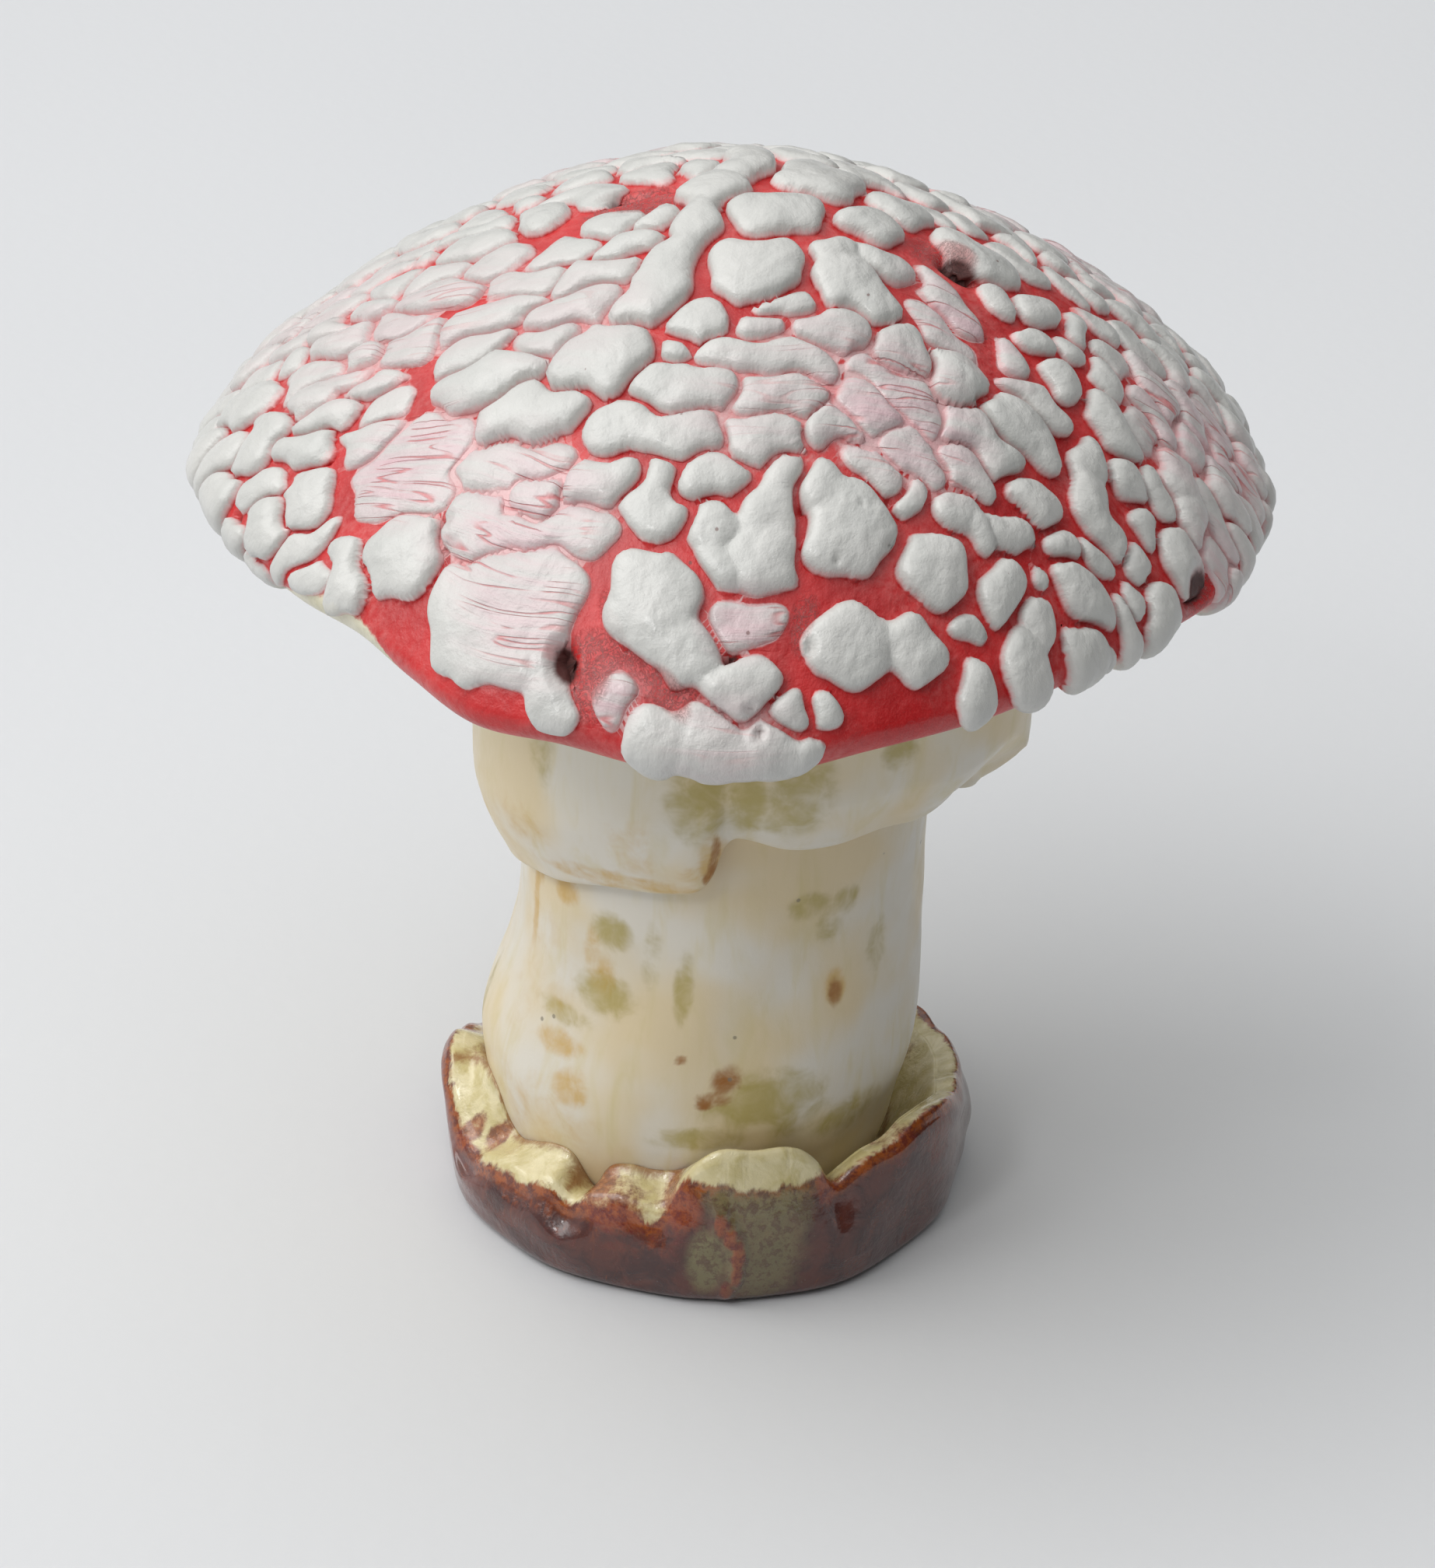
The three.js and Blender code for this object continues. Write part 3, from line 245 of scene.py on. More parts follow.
# burst bubbles: x, y, half sizes, turn, how deep
BURSTS = [
    (-21.8, -62.7, 1.5, 2.4, 10, 1), (65.6, -28.4, 2.2, 2.8, -20, 1), (23.4, -6.2, 2.3, 1.5, -15, 1),
    (-1, -62.3, 1.1, 0.6, 20, 0.8), (8.4, -61.7, 0.6, 1.0, 0, 0.5), (1.5, -67.6, 0.6, 0.4, 0, 0.5),
    (-38, -43.2, 1.0, 0.5, 10, 0.35), (-37.7, -46.3, 1.1, 0.5, 10, 0.35), (-15.5, 2.6, 2.8, 0.7, 0, 0.7),
    (-10.5, 2.8, 1.5, 0.6, 10, 0.6), (6.3, -46.3, 0.5, 0.4, 0, 0.5), (10.6, -52.4, 0.4, 0.4, 0, 0.5),
    (17.2, -50, 0.5, 0.4, 0, 0.5), (17, -45, 0.4, 0.6, 0, 0.5), (13.1, -46.4, 0.3, 0.3, 0, 0.4),
    (3, -70.2, 0.6, 0.6, 0, 0.6), (-69, -20.7, 0.6, 1.0, 0, 0.7), (28.7, -27.7, 0.9, 0.5, 0, 0.5),
]
# froth left round the bursts and along the big island: x, y, half sizes, turn, how much
FROTH = [
    (-18.2, -64.2, 3.6, 4.2, 0, 1), (65.6, -28.4, 3.6, 4.6, -20, 0.8), (22, -4.6, 4.4, 2.6, -15, 0.8),
    (-14, -0.4, 5.2, 4, 0, 1), (-8, -66.3, 5.5, 2.6, 130, 0.8), (-14.5, -60.2, 1.8, 5.5, 25, 0.6),
    (-38, -44.6, 3.4, 3.6, 0, 0.5), (7.7, -58.9, 1.8, 3.2, 0, 0.7), (-47.4, -66.5, 14, 2.6, -38, 0.8),
    (20, -5, 3, 3, 0, 0.6),
]
# lower edge of the red glaze, by azimuth: how far below the widest line it reaches
RED_EDGE = [(0, 3.6), (60, 3.2), (120, 3.6), (180, 3.2), (205, 3), (212, 0.6), (219, -0.6), (226, 0.2),
            (232, 2.8), (262, 3.8), (285, 3.4), (300, 3.8), (330, 3.2)]


def cubic(t, p1, m1, p2, m2):
    """leaves p1 and comes to p2 with the slopes m1 and m2"""
    return ((2 * t**3 - 3 * t**2 + 1) * p1 + (t**3 - 2 * t**2 + t) * m1
            + (-2 * t**3 + 3 * t**2) * p2 + (t**3 - t**2) * m2)


def around(rows, degrees):
    """smooth closed curve through rows of azimuth and values"""
    rows = np.array(rows, float)
    a = np.mod(degrees, 360)
    i = np.searchsorted(rows[:, 0], a, side="right") - 1
    p0, p1, p2, p3 = (rows[(i + k) % len(rows)] for k in (-1, 0, 1, 2))
    span = np.mod(p2[..., :1] - p1[..., :1], 360)
    t = np.mod(np.asarray(a)[..., None] - p1[..., :1], 360) / span
    m1 = (p2 - p0) / np.mod(p2[..., :1] - p0[..., :1], 360) * span
    m2 = (p3 - p1) / np.mod(p3[..., :1] - p1[..., :1], 360) * span
    return np.moveaxis(cubic(t, p1, m1, p2, m2)[..., 1:], -1, 0)


def dome_share(s):
    return (1 - s**1.8) ** 0.85


steps = 1 - (1 - np.linspace(0, 1, 301)) ** 2
walk = np.hypot(np.diff(MAP_RADIUS * steps), np.diff(MAP_RISE * dome_share(steps)))
map_lengths = np.concatenate([[0], np.cumsum(walk)])
MAP_RIM = map_lengths[-1]
MAP_EDGE = MAP_RIM + LIP_ARC


def dome(x, y):
    """the red dome's point over a point of the flat map"""
    m, a = np.hypot(x, y), np.arctan2(y, x)
    radius, height = around(CAP_RIM, np.degrees(a))
    sag, = around(CAP_SAG, np.degrees(a))
    s = np.interp(m, map_lengths, steps)
    turn = np.clip((m - MAP_RIM) / LIP_ARC, 0, 1) * np.pi / 2
    r = radius * s - LIP_REACH * (1 - np.cos(turn))
    return np.stack([
        CAP_AXIS_X + CROWN_SHIFT[0] * (1 - s) + r * np.cos(a),
        CROWN_SHIFT[1] * (1 - s) + r * np.sin(a),
        height + (CROWN_HEIGHT - height) * dome_share(s) - sag * np.sin(np.pi * s) - LIP_DROP * np.sin(turn),
    ], -1)


def draw(item, which):
    """even draw in 0..1 for an item"""
    mask = 0xFFFFFFFF
    x = (item * 73856093 ^ which * 19349663 ^ SEED * 83492791) & mask
    x = (x ^ x >> 13) * 1274126177 & mask
    return (x ^ x >> 16) / 4294967296


def in_lobe(x, y, lobe):
    """distance inside a lobe, negative outside"""
    cx, cy, a, b, turn = lobe
    c, s = math.cos(math.radians(turn)), math.sin(math.radians(turn))
    px, py = (x - cx) * c + (y - cy) * s, (y - cy) * c - (x - cx) * s
    k = np.hypot(px / a, py / b)
    lean = np.hypot(px / a / a, py / b / b)
    rounded = (1 - k * k) / np.sqrt(4 * lean * lean + np.maximum(1 - k * k, 0) / min(a, b) ** 2 + 1e-9)
    return np.where(k < 1, rounded, k * (1 - k) / (lean + 1e-9))


def bricks():
    """islands by a seeded rule, where none was read off the cap"""
    read = [lobe for _, *lobes in ISLANDS for lobe in lobes]
    rows, columns = math.ceil(MAP_EDGE / ROW_PITCH) + 4, math.ceil(MAP_EDGE / BRICK_PITCH) + 3
    c, s = math.cos(math.radians(STROKE_TURN)), math.sin(math.radians(STROKE_TURN))
    item, laid = 0, []
    for j in range(-rows, rows + 1):
        for i in range(-columns, columns + 1):
            item += 1
            u = (i + (j & 1) / 2 + (draw(item, 1) - 0.5) * BRICK_JITTER[0]) * BRICK_PITCH
            v = (j + (draw(item, 2) - 0.5) * BRICK_JITTER[1]) * ROW_PITCH
            x, y = u * c - v * s, u * s + v * c
            if math.hypot(x, y) > MAP_EDGE - BRICK_MARGIN or draw(item, 3) < BRICK_SPARE:
                continue
            if any(in_lobe(x, y, lobe) > -BRICK_CLEAR for lobe in read):
                continue
            if any(in_lobe(x, y, lobe) > 0 for lobe in BARE):
                continue
            sizes = (BRICK_HALF_LENGTH, BRICK_HALF_WIDTH, BRICK_RELIEF)
            a, b, relief = (least + spread * draw(item, 4 + k) for k, (least, spread) in enumerate(sizes))
            laid.append([relief, [x, y, a, b, STROKE_TURN + (draw(item, 7) - 0.5) * STROKE_SWAY]])
    return laid


glaze_islands = ISLANDS + bricks()


def patches(x, y, rows):
    """soft-edged ovals laid on the flat map"""
    total = np.zeros(x.shape)
    for cx, cy, a, b, turn, much in rows:
        c, s = math.cos(math.radians(turn)), math.sin(math.radians(turn))
        k = np.hypot(((x - cx) * c + (y - cy) * s) / a, ((y - cy) * c - (x - cx) * s) / b)
        total = np.maximum(total, much * np.clip(1.5 - k, 0, 1))
    return total


def glaze_at(x, y):
    """how deep each map point lies inside its island, and that island's relief"""
    wx = x + WANDER[0] * np.sin(0.83 * y + 1.3 * np.sin(0.41 * x) + 0.7)
    wy = y + WANDER[1] * np.sin(0.77 * x + 1.1 * np.sin(0.47 * y) + 2.1)
    best, second, relief = np.full(x.shape, FAR), np.full(x.shape, FAR), np.zeros(x.shape)
    for height, *lobes in glaze_islands:
        middles, reach = np.array(lobes)[:, :2], np.array(lobes)[:, 2:3] + LOBE_REACH
        low, high = (middles - reach).min(0), (middles + reach).max(0)
        near = np.nonzero((wx > low[0]) & (wx < high[0]) & (wy > low[1]) & (wy < high[1]))[0]
        d = np.full(near.shape, FAR)
        for lobe in lobes:
            q = in_lobe(wx[near], wy[near], lobe)
            d = np.maximum(d, q) + LOBE_BLEND * np.maximum(0, 1 - np.abs(d - q) / LOBE_BLEND) ** 2 / 4
        was = best[near]
        second[near] = np.where(d > was, was, np.maximum(second[near], d))
        relief[near] = np.where(d > was, height, relief[near])
        best[near] = np.maximum(was, d)
    packed = patches(x, y, PACKED)
    grow = GROW + (GROW_PACKED - GROW) * packed
    crack = CRACK + (CRACK_PACKED - CRACK) * packed
    own, shared = best + grow, (best - second - crack) / CRACK_SHARE
    rounding = CORNER * np.maximum(0, 1 - np.abs(own - shared) / CORNER) ** 2 / 4
    return np.minimum(own, shared) - rounding, relief


def slope_of(x, y, e=0.05):
    here = glaze_at(x, y)[0]
    return here, (glaze_at(x + e, y)[0] - here) / e, (glaze_at(x, y + e)[0] - here) / e


# The flat map is a square net drawn onto a disc, so that its squares stay even up to the lip.
line = np.linspace(-1, 1, CAP_STEPS + 1)
a, b = (g.ravel() for g in np.meshgrid(line, line))
wide = np.abs(a) > np.abs(b)
with np.errstate(divide="ignore", invalid="ignore"):
    turn = np.where(wide, np.pi / 4 * b / a, np.pi / 2 - np.pi / 4 * np.nan_to_num(a / b))
reach = np.where(wide, a, b) * MAP_EDGE
x, y = reach * np.cos(turn), reach * np.sin(turn)
depth = glaze_at(x, y)[0]
near = np.nonzero((np.abs(depth) < SNAP) & (np.hypot(x, y) < MAP_EDGE - 1))[0]
for _ in range(3):
    d, sx, sy = slope_of(x[near], y[near])
    step = np.clip(-d / np.maximum(sx**2 + sy**2, 0.2), -SNAP, SNAP)
    x[near] += sx * step
    y[near] += sy * step
depth, gx, gy = slope_of(x, y)
depth[np.abs(depth) < 0.04] = 0
_, relief = glaze_at(x, y)
relief *= 1 - THIN_LOSS * np.minimum(patches(x, y, THIN), 1)

points = dome(x, y)
e = 0.3
east, north = dome(x + e, y) - dome(x - e, y), dome(x, y + e) - dome(x, y - e)
lean = -(gx[:, None] * east + gy[:, None] * north)
lean /= np.maximum(np.linalg.norm(lean, axis=1, keepdims=True), 0.4)

# two triangles a square, cut so that the edges follow the islands' feet
n = CAP_STEPS + 1
corner = (np.arange(CAP_STEPS)[:, None] * n + np.arange(CAP_STEPS)).ravel()
q = np.stack([corner, corner + 1, corner + n + 1, corner + n], 1)
straight = np.abs(depth[q[:, 0]] - depth[q[:, 2]]) <= np.abs(depth[q[:, 1]] - depth[q[:, 3]])
row, column = np.divmod(np.arange(len(q)), CAP_STEPS)
straight[row == column] = True
straight[row + column == CAP_STEPS - 1] = False
faces = np.concatenate([
    q[straight][:, [0, 1, 2]], q[straight][:, [0, 2, 3]],
    q[~straight][:, [0, 1, 3]], q[~straight][:, [1, 2, 3]],
])

# the underside: rings from the lip in to the seat under the stem
ring = np.concatenate([np.arange(n - 1), np.arange(n - 1) * n + n - 1,
                       n * n - 1 - np.arange(n - 1), (n - 1 - np.arange(n - 1)) * n])
angle = np.arctan2(y[ring], x[ring])
lip_r = np.hypot(points[ring, 0] - CAP_AXIS_X, points[ring, 1])
before_r, before_z, under = lip_r, points[ring, 2], [ring]
extra = []
for r, z in UNDERSIDE:
    for k in range(1, UNDER_STEPS + 1):
        share = k / UNDER_STEPS
        rr = before_r + (r - before_r) * share
        zz = before_z + (z - before_z) * np.sin(share * np.pi / 2)
        extra.append(np.stack([CAP_AXIS_X + rr * np.cos(angle), rr * np.sin(angle), zz + 0 * rr], 1))
        under.append(len(points) + (len(extra) - 1) * len(ring) + np.arange(len(ring)))
    before_r, before_z = r + 0 * lip_r, z
middle = len(points) + len(extra) * len(ring)
for outer, inner in zip(under, under[1:]):
    o2, i2 = np.roll(outer, -1), np.roll(inner, -1)
    faces = np.concatenate([faces, np.stack([outer, inner, i2], 1), np.stack([outer, i2, o2], 1)])
faces = np.concatenate([faces, np.stack([under[-1], np.full(len(ring), middle), np.roll(under[-1], -1)], 1)])
added = len(extra) * len(ring) + 1
points = np.concatenate([points, *extra, [[CAP_AXIS_X, 0, SEAT_HEIGHT]]])
red_edge, = around(RED_EDGE, np.degrees(np.arctan2(y, x)))


def pad(values, fill=0.0):
    """values of the dome's points, and one for each point of the underside"""
    return np.concatenate([values, np.full(added, fill)])


def mesh_of(name, points, faces, fields=()):
    """smooth mesh in metres from points in millimetres, with one named value a point for each field"""
    mesh = bpy.data.meshes.new(name)
    mesh.vertices.add(len(points))
    mesh.vertices.foreach_set("co", (np.asarray(points) * MM).ravel())
    sides = faces.shape[1]
    mesh.loops.add(faces.size)
    mesh.loops.foreach_set("vertex_index", faces.ravel())
    mesh.polygons.add(len(faces))
    mesh.polygons.foreach_set("loop_start", np.arange(len(faces)) * sides)
    mesh.update(calc_edges=True)
    mesh.validate()
    mesh.shade_smooth()
    for field, values in dict(fields).items():
        kind, key = ("FLOAT_VECTOR", "vector") if values.ndim == 2 else ("FLOAT", "value")
        data = mesh.attributes.new(field, kind, "POINT").data
        data.foreach_set(key, np.ascontiguousarray(values, "f").ravel())
    return mesh


base = mesh_of("cap_base", points, faces, {
    "depth": pad(depth, -3),
    "relief": pad(relief),
    "lean": np.concatenate([lean, np.zeros((added, 3))]),
    "map": np.stack([pad(x), pad(y), np.zeros(len(points))], 1),
    "thin": pad(patches(x, y, THIN)),
    "burst": pad(patches(x, y, BURSTS)),
    "froth": pad(patches(x, y, FROTH)),
    "edge": pad(np.hypot(x, y) - MAP_RIM - red_edge, 9),
})
ends = np.empty(len(base.edges) * 2, int)
base.edges.foreach_get("vertices", ends)
foot = pad(depth, -3) == 0
creased = foot[ends[::2]] & foot[ends[1::2]]
base.attributes.new("sharp_edge", "BOOLEAN", "EDGE").data.foreach_set("value", creased)


class Recipe:
    """node tree of a glaze, or of the rule that raises one"""

    def __init__(self, tree):
        self.tree = tree

    def add(self, kind, inputs=(), out=0, **settings):
        node = self.tree.nodes.new(kind)
        for name, value in settings.items():
            setattr(node, name, value)
        for key, value in dict(inputs).items():
            if isinstance(value, bpy.types.NodeSocket):
                self.tree.links.new(value, node.inputs[key])
            else:
                node.inputs[key].default_value = value
        return node.outputs[out] if node.outputs else node

    def sum(self, operation, a, b=0.0, c=0.0):
        return self.add("ShaderNodeMath", {0: a, 1: b, 2: c}, operation=operation)

    def plus(self, a, b):
        return self.sum("ADD", a, b)

    def minus(self, a, b):
        return self.sum("SUBTRACT", a, b)

    def times(self, a, b):
        return self.sum("MULTIPLY", a, b)

    def stir(self, value, noise, amount):
        return self.plus(value, self.times(self.minus(noise, 0.5), amount))

    def scaled(self, vector, scale):
        return self.add("ShaderNodeVectorMath", {0: vector, "Scale": scale}, operation="SCALE")

    def fade(self, value, low, high, first=0.0, last=1.0, kind="SMOOTHSTEP"):
        limits = {0: value, 1: low, 2: high, 3: first, 4: last}
        return self.add("ShaderNodeMapRange", limits, interpolation_type=kind)

    def blend(self, share, a, b):
        return self.add("ShaderNodeMix", {0: share, 6: a, 7: b}, out=2, data_type="RGBA")

    def noise(self, place, scale, detail=2.0, roughness=0.5, twist=0.0):
        return self.add("ShaderNodeTexNoise", {
            "Vector": place, "Scale": scale, "Detail": detail, "Roughness": roughness, "Distortion": twist})

    def read(self, name, out=2):
        return self.add("ShaderNodeAttribute", out=out, attribute_name=name)


# The raising rule: a quarter-round edge, a gently domed top, small lumps, and pits at the bursts.
raising = bpy.data.node_groups.new("raise_glaze", "GeometryNodeTree")
raising.interface.new_socket("Geometry", in_out="OUTPUT", socket_type="NodeSocketGeometry")
raise_inputs = {}
for name in ("Geometry", "Edge round", "Top round", "Overhang", "Lumps", "Lump size", "Pit depth", "Finish"):
    kind = {"Geometry": "Geometry", "Finish": "Material"}.get(name, "Float")
    item = raising.interface.new_socket(name, in_out="INPUT", socket_type="NodeSocket" + kind)
    raise_inputs[name] = item.identifier
rule = Recipe(raising)
given = raising.nodes.new("NodeGroupInput").outputs


def stored(name, kind="FLOAT"):
    return rule.add("GeometryNodeInputNamedAttribute", {"Name": name}, data_type=kind)


def quarter_round(depth, reach):
    away = rule.minus(1, rule.fade(depth, 0.0, reach, kind="LINEAR"))
    return rule.sum("SQRT", rule.minus(1, rule.times(away, away)))


inside = stored("depth")
shoulder = quarter_round(inside, given["Edge round"])
top = quarter_round(inside, given["Top round"])
profile = rule.plus(rule.times(shoulder, 0.45), rule.times(top, 0.55))
lumpy = rule.noise(stored("map", "FLOAT_VECTOR"), rule.sum("DIVIDE", 1, given["Lump size"]), 1.0)
height = rule.times(rule.stir(stored("relief"), lumpy, given["Lumps"]), profile)
height = rule.minus(height, rule.times(stored("burst"), given["Pit depth"]))
share = rule.fade(inside, 0.0, given["Edge round"], kind="LINEAR")
bulge = rule.times(rule.times(share, rule.minus(1, share)), given["Overhang"])
lift = rule.scaled(rule.add("GeometryNodeInputNormal"), height)
push = rule.scaled(stored("lean", "FLOAT_VECTOR"), bulge)
shift = rule.scaled(rule.add("ShaderNodeVectorMath", {0: lift, 1: push}, operation="ADD"), MM)
shaped = rule.add("GeometryNodeSetPosition", {"Geometry": given["Geometry"], "Offset": shift})
shaped = rule.add("GeometryNodeRealizeInstances", {0: shaped})
shaped = rule.add("GeometryNodeSetMaterial", {"Geometry": shaped, "Material": given["Finish"]})
rule.tree.links.new(shaped, raising.nodes.new("NodeGroupOutput").inputs[0])


def paint(r, g, b):
    """colour as it looks on a screen, 0 to 255, turned into light"""
    return tuple(((c / 255 + 0.055) / 1.055) ** 2.4 if c > 10 else c / 3294.6 for c in (r, g, b)) + (1.0,)


def new_finish(name):
    material = bpy.data.materials.new(name)
    material.use_nodes = True
    material.node_tree.nodes.clear()
    return material, Recipe(material.node_tree)


def fire(recipe, colour, roughness, relief, bump=1.0, coat=0.0, coat_roughness=0.08):
    """ends a glaze's tree: relief is a height in millimetres"""
    normal = recipe.add("ShaderNodeBump", {"Height": relief, "Distance": MM, "Strength": bump})
    shader = recipe.add("ShaderNodeBsdfPrincipled", {
        "Base Color": colour, "Roughness": roughness, "Normal": normal,
        "Coat Weight": coat, "Coat Roughness": coat_roughness})
    recipe.add("ShaderNodeOutputMaterial", {"Surface": shader})


cap_finish, g = new_finish("crawled_glaze")
place = g.read("map", 1)
# brush strokes run across the cap and bend down at the left
across = g.add("ShaderNodeSeparateXYZ", {0: place})
left = g.sum("MINIMUM", across, 0)
bent = g.minus(g.add("ShaderNodeSeparateXYZ", {0: place}, 1), g.times(g.times(left, left), STROKE_BEND))
bent = g.add("ShaderNodeCombineXYZ", {0: across, 1: bent, 2: 0.0})
streaks = g.add("ShaderNodeMapping", {
    "Vector": bent, "Rotation": (0, 0, math.radians(10)), "Scale": (0.06, 0.55, 1)})
fine = g.noise(place, 0.9, 3.0, 0.6)
broad = g.noise(place, 0.11)
grain = g.noise(place, 3.5, 2.0, 0.6)
inside, thin, burst, froth, edge = (g.read(name) for name in ("depth", "thin", "burst", "froth", "edge"))
inside = g.stir(inside, fine, 0.22)
stroke = g.noise(streaks, 1.0, 4.0, 0.6, 0.4)
ridge = g.sum("ABSOLUTE", g.minus(g.noise(streaks, 1.0, 1.0, 0.4, 0.6), 0.5))
split = g.times(g.fade(ridge, 0.002, 0.034, 1, 0), g.fade(thin, 0.2, 0.6))
split = g.times(split, g.fade(g.noise(place, 0.13), 0.42, 0.54))
# red ground, rosier where a film of white lies on it
red = g.blend(g.fade(broad, 0.35, 0.65), paint(176, 20, 24), paint(198, 34, 36))
red = g.blend(g.fade(grain, 0.45, 0.8, 0, 0.3), red, paint(214, 84, 80))
film = g.fade(g.noise(place, 0.05), 0.4, 0.62, 0.0, 0.3)
red = g.blend(g.times(film, g.fade(fine, 0.3, 0.7)), red, paint(214, 128, 124))
threads = g.sum("ABSOLUTE", g.minus(g.noise(place, 0.9, 5.0, 0.75, 1.5), 0.5))
foam = g.times(g.fade(threads, 0.006, 0.03, 1, 0), g.fade(froth, 0.15, 0.8, 0, 0.75))
red = g.blend(foam, red, paint(222, 160, 158))
# white, pinker where it is thin and at its melted edge
milk = g.blend(g.fade(broad, 0.3, 0.7), paint(202, 201, 197), paint(194, 194, 190))
rosy = g.times(thin, g.fade(stroke, 0.32, 0.66, 0.15, 1.0))
milk = g.blend(g.times(rosy, 0.8), milk, paint(212, 170, 178))
melted = g.fade(g.stir(inside, grain, 0.5), 0.05, 0.5, 0.5, 0)
milk = g.blend(melted, milk, paint(220, 150, 152))
milk = g.blend(g.times(split, 0.75), milk, paint(204, 104, 106))
specks = g.add("ShaderNodeTexVoronoi", {"Vector": place, "Scale": 0.24})
specks = g.plus(specks, g.fade(g.plus(broad, g.times(thin, 0.12)), 0.46, 0.62, 0.1, 0))
cover = g.fade(g.plus(inside, g.times(thin, 0.35)), -0.02, 0.2)
cover = g.times(cover, g.fade(froth, 0.55, 0.95, 1, 0.35))
colour = g.blend(cover, red, milk)
colour = g.blend(g.fade(specks, 0.04, 0.07, 0.7, 0), colour, paint(110, 70, 64))
# painted shade: the burst pits are coloured dark brown for the shade that falls inside them
painted_pit_shade = g.fade(g.plus(burst, g.times(fine, 0.3)), 0.5, 0.95)
colour = g.blend(painted_pit_shade, colour, paint(78, 38, 34))
under = g.fade(g.stir(edge, fine, 1.6), -0.3, 0.4)
cream = g.blend(g.fade(broad, 0.4, 0.7), paint(222, 217, 196), paint(206, 200, 168))
under = g.times(under, g.minus(1, g.times(cover, 0.8)))
colour = g.blend(under, colour, cream)
gloss = g.blend(cover, (0.42,) * 3 + (1,), (0.38,) * 3 + (1,))
gloss = g.blend(painted_pit_shade, gloss, (0.75,) * 3 + (1,))
bumps = g.plus(g.times(fine, 0.2), g.times(grain, 0.03))
bumps = g.plus(bumps, g.times(g.noise(place, 0.4, 1.0), 0.35))
bumps = g.plus(bumps, g.times(g.times(thin, stroke), 0.5))
bumps = g.minus(bumps, g.times(split, 0.15))
bare = g.minus(1, cover)
bumps = g.plus(bumps, g.times(g.times(foam, bare), 0.25))
fire(g, colour, gloss, bumps, 0.8, coat=0.2, coat_roughness=0.12)


def settle(name, source):
    """plain mesh of an object as its modifiers leave it"""
    graph = bpy.context.evaluated_depsgraph_get()
    mesh = bpy.data.meshes.new_from_object(
        source.evaluated_get(graph), preserve_all_data_layers=True, depsgraph=graph)
    bpy.data.objects.remove(source)
    return put(name, mesh)


blank = put("cap_blank", base)
lift_glaze = blank.modifiers.new("raise_glaze", "NODES")
lift_glaze.node_group = raising
for name, value in (("Edge round", 2.0), ("Top round", 5.0), ("Overhang", 0.8), ("Lumps", 0.7),
                    ("Lump size", 4.0), ("Pit depth", 1.5), ("Finish", cap_finish)):
    lift_glaze[raise_inputs[name]] = value
glazed_cap = settle("glazed_cap", blank)
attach(glazed_cap, "root")
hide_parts("cap")

# Stem. A stout turned column of pale clay under cream glaze, swollen low down, with olive and
# ochre stains where the glaze ran thick. It is fixed into the cap and the cup with slip.
STEM = [
    # height, radius, shift along X
    [4.4, 21.2, -2], [8, 23.2, -2.1], [15, 25, -2.3], [20, 25.8, -2], [25, 25.6, -1.3], [30, 24.8, -0.5],
    [36, 24, 0], [45, 23.7, 0.2], [55, 23.6, 0.6], [64, 23.8, 1], [76, 24.4, 1.2], [90.65, 24.6, 1.2],
]
STEM_AROUND, STEM_RINGS = 300, 190
STEM_SKIN = 25  # radius that its stains are measured on
STEM_BURY = 0.6  # how far it reaches into the cap
STEM_KNEADED = (17, 60)  # heights between which the maker's hands are felt
# stains: azimuth, height, half width, half height, how strong
OLIVE_STAINS = [
    (238, 35.6, 3.6, 2.2, 1), (261, 39.1, 1.1, 4.2, 0.75), (251, 42, 1.2, 5, 0.5), (287, 24.6, 6, 3.2, 0.9),
    (238, 44.1, 2.4, 2.2, 0.9), (307, 49.4, 1.6, 1.6, 0.9), (302, 47, 1.8, 2.6, 0.6),
    (295, 49.7, 2.4, 1.6, 0.7), (320, 41.1, 1.6, 3.6, 0.6), (315, 19.3, 5, 2.2, 0.8),
    (183, 20.7, 1.2, 6, 0.9), (272, 19.5, 5, 1.6, 0.7), (300, 21, 4, 2, 0.7), (226, 31, 4, 1.2, 0.6),
    (100, 40, 3, 3, 0.8), (60, 28, 5, 2.4, 0.8), (20, 36, 1.6, 4, 0.7), (130, 24, 4, 2, 0.8),
    (85, 48, 2, 2.6, 0.7), (150, 44, 2.2, 3, 0.6), (35, 50, 2, 2, 0.7), (110, 33, 1.4, 4.4, 0.6),
]
OCHRE_STAINS = [
    (235, 22.6, 2, 2.4, 0.9), (227, 27.6, 3, 1.4, 0.85), (221, 46.8, 2, 1.5, 0.9), (205, 41.1, 0.9, 5, 1),
    (208, 48, 0.8, 3.4, 0.8), (305, 37.8, 1.2, 2, 0.9), (232, 41, 1.2, 2.6, 0.6), (236, 38, 2.2, 3, 0.5),
    (215, 34, 6, 9, 0.3), (225, 17, 9, 5, 0.35), (75, 22, 3, 2, 0.8), (140, 36, 1.4, 3, 0.7),
    (10, 30, 2, 3, 0.6),
]
BROWN_STAINS = [
    (276, 27.6, 1.5, 1.7, 1), (274, 25.3, 1.9, 0.8, 0.9), (271.5, 24.5, 0.9, 0.7, 1),
    (305, 37.2, 0.9, 1.7, 0.75), (263, 30, 0.7, 0.6, 0.9), (165, 33, 1, 1.6, 0.9), (48, 42, 1, 1.4, 0.8),
]


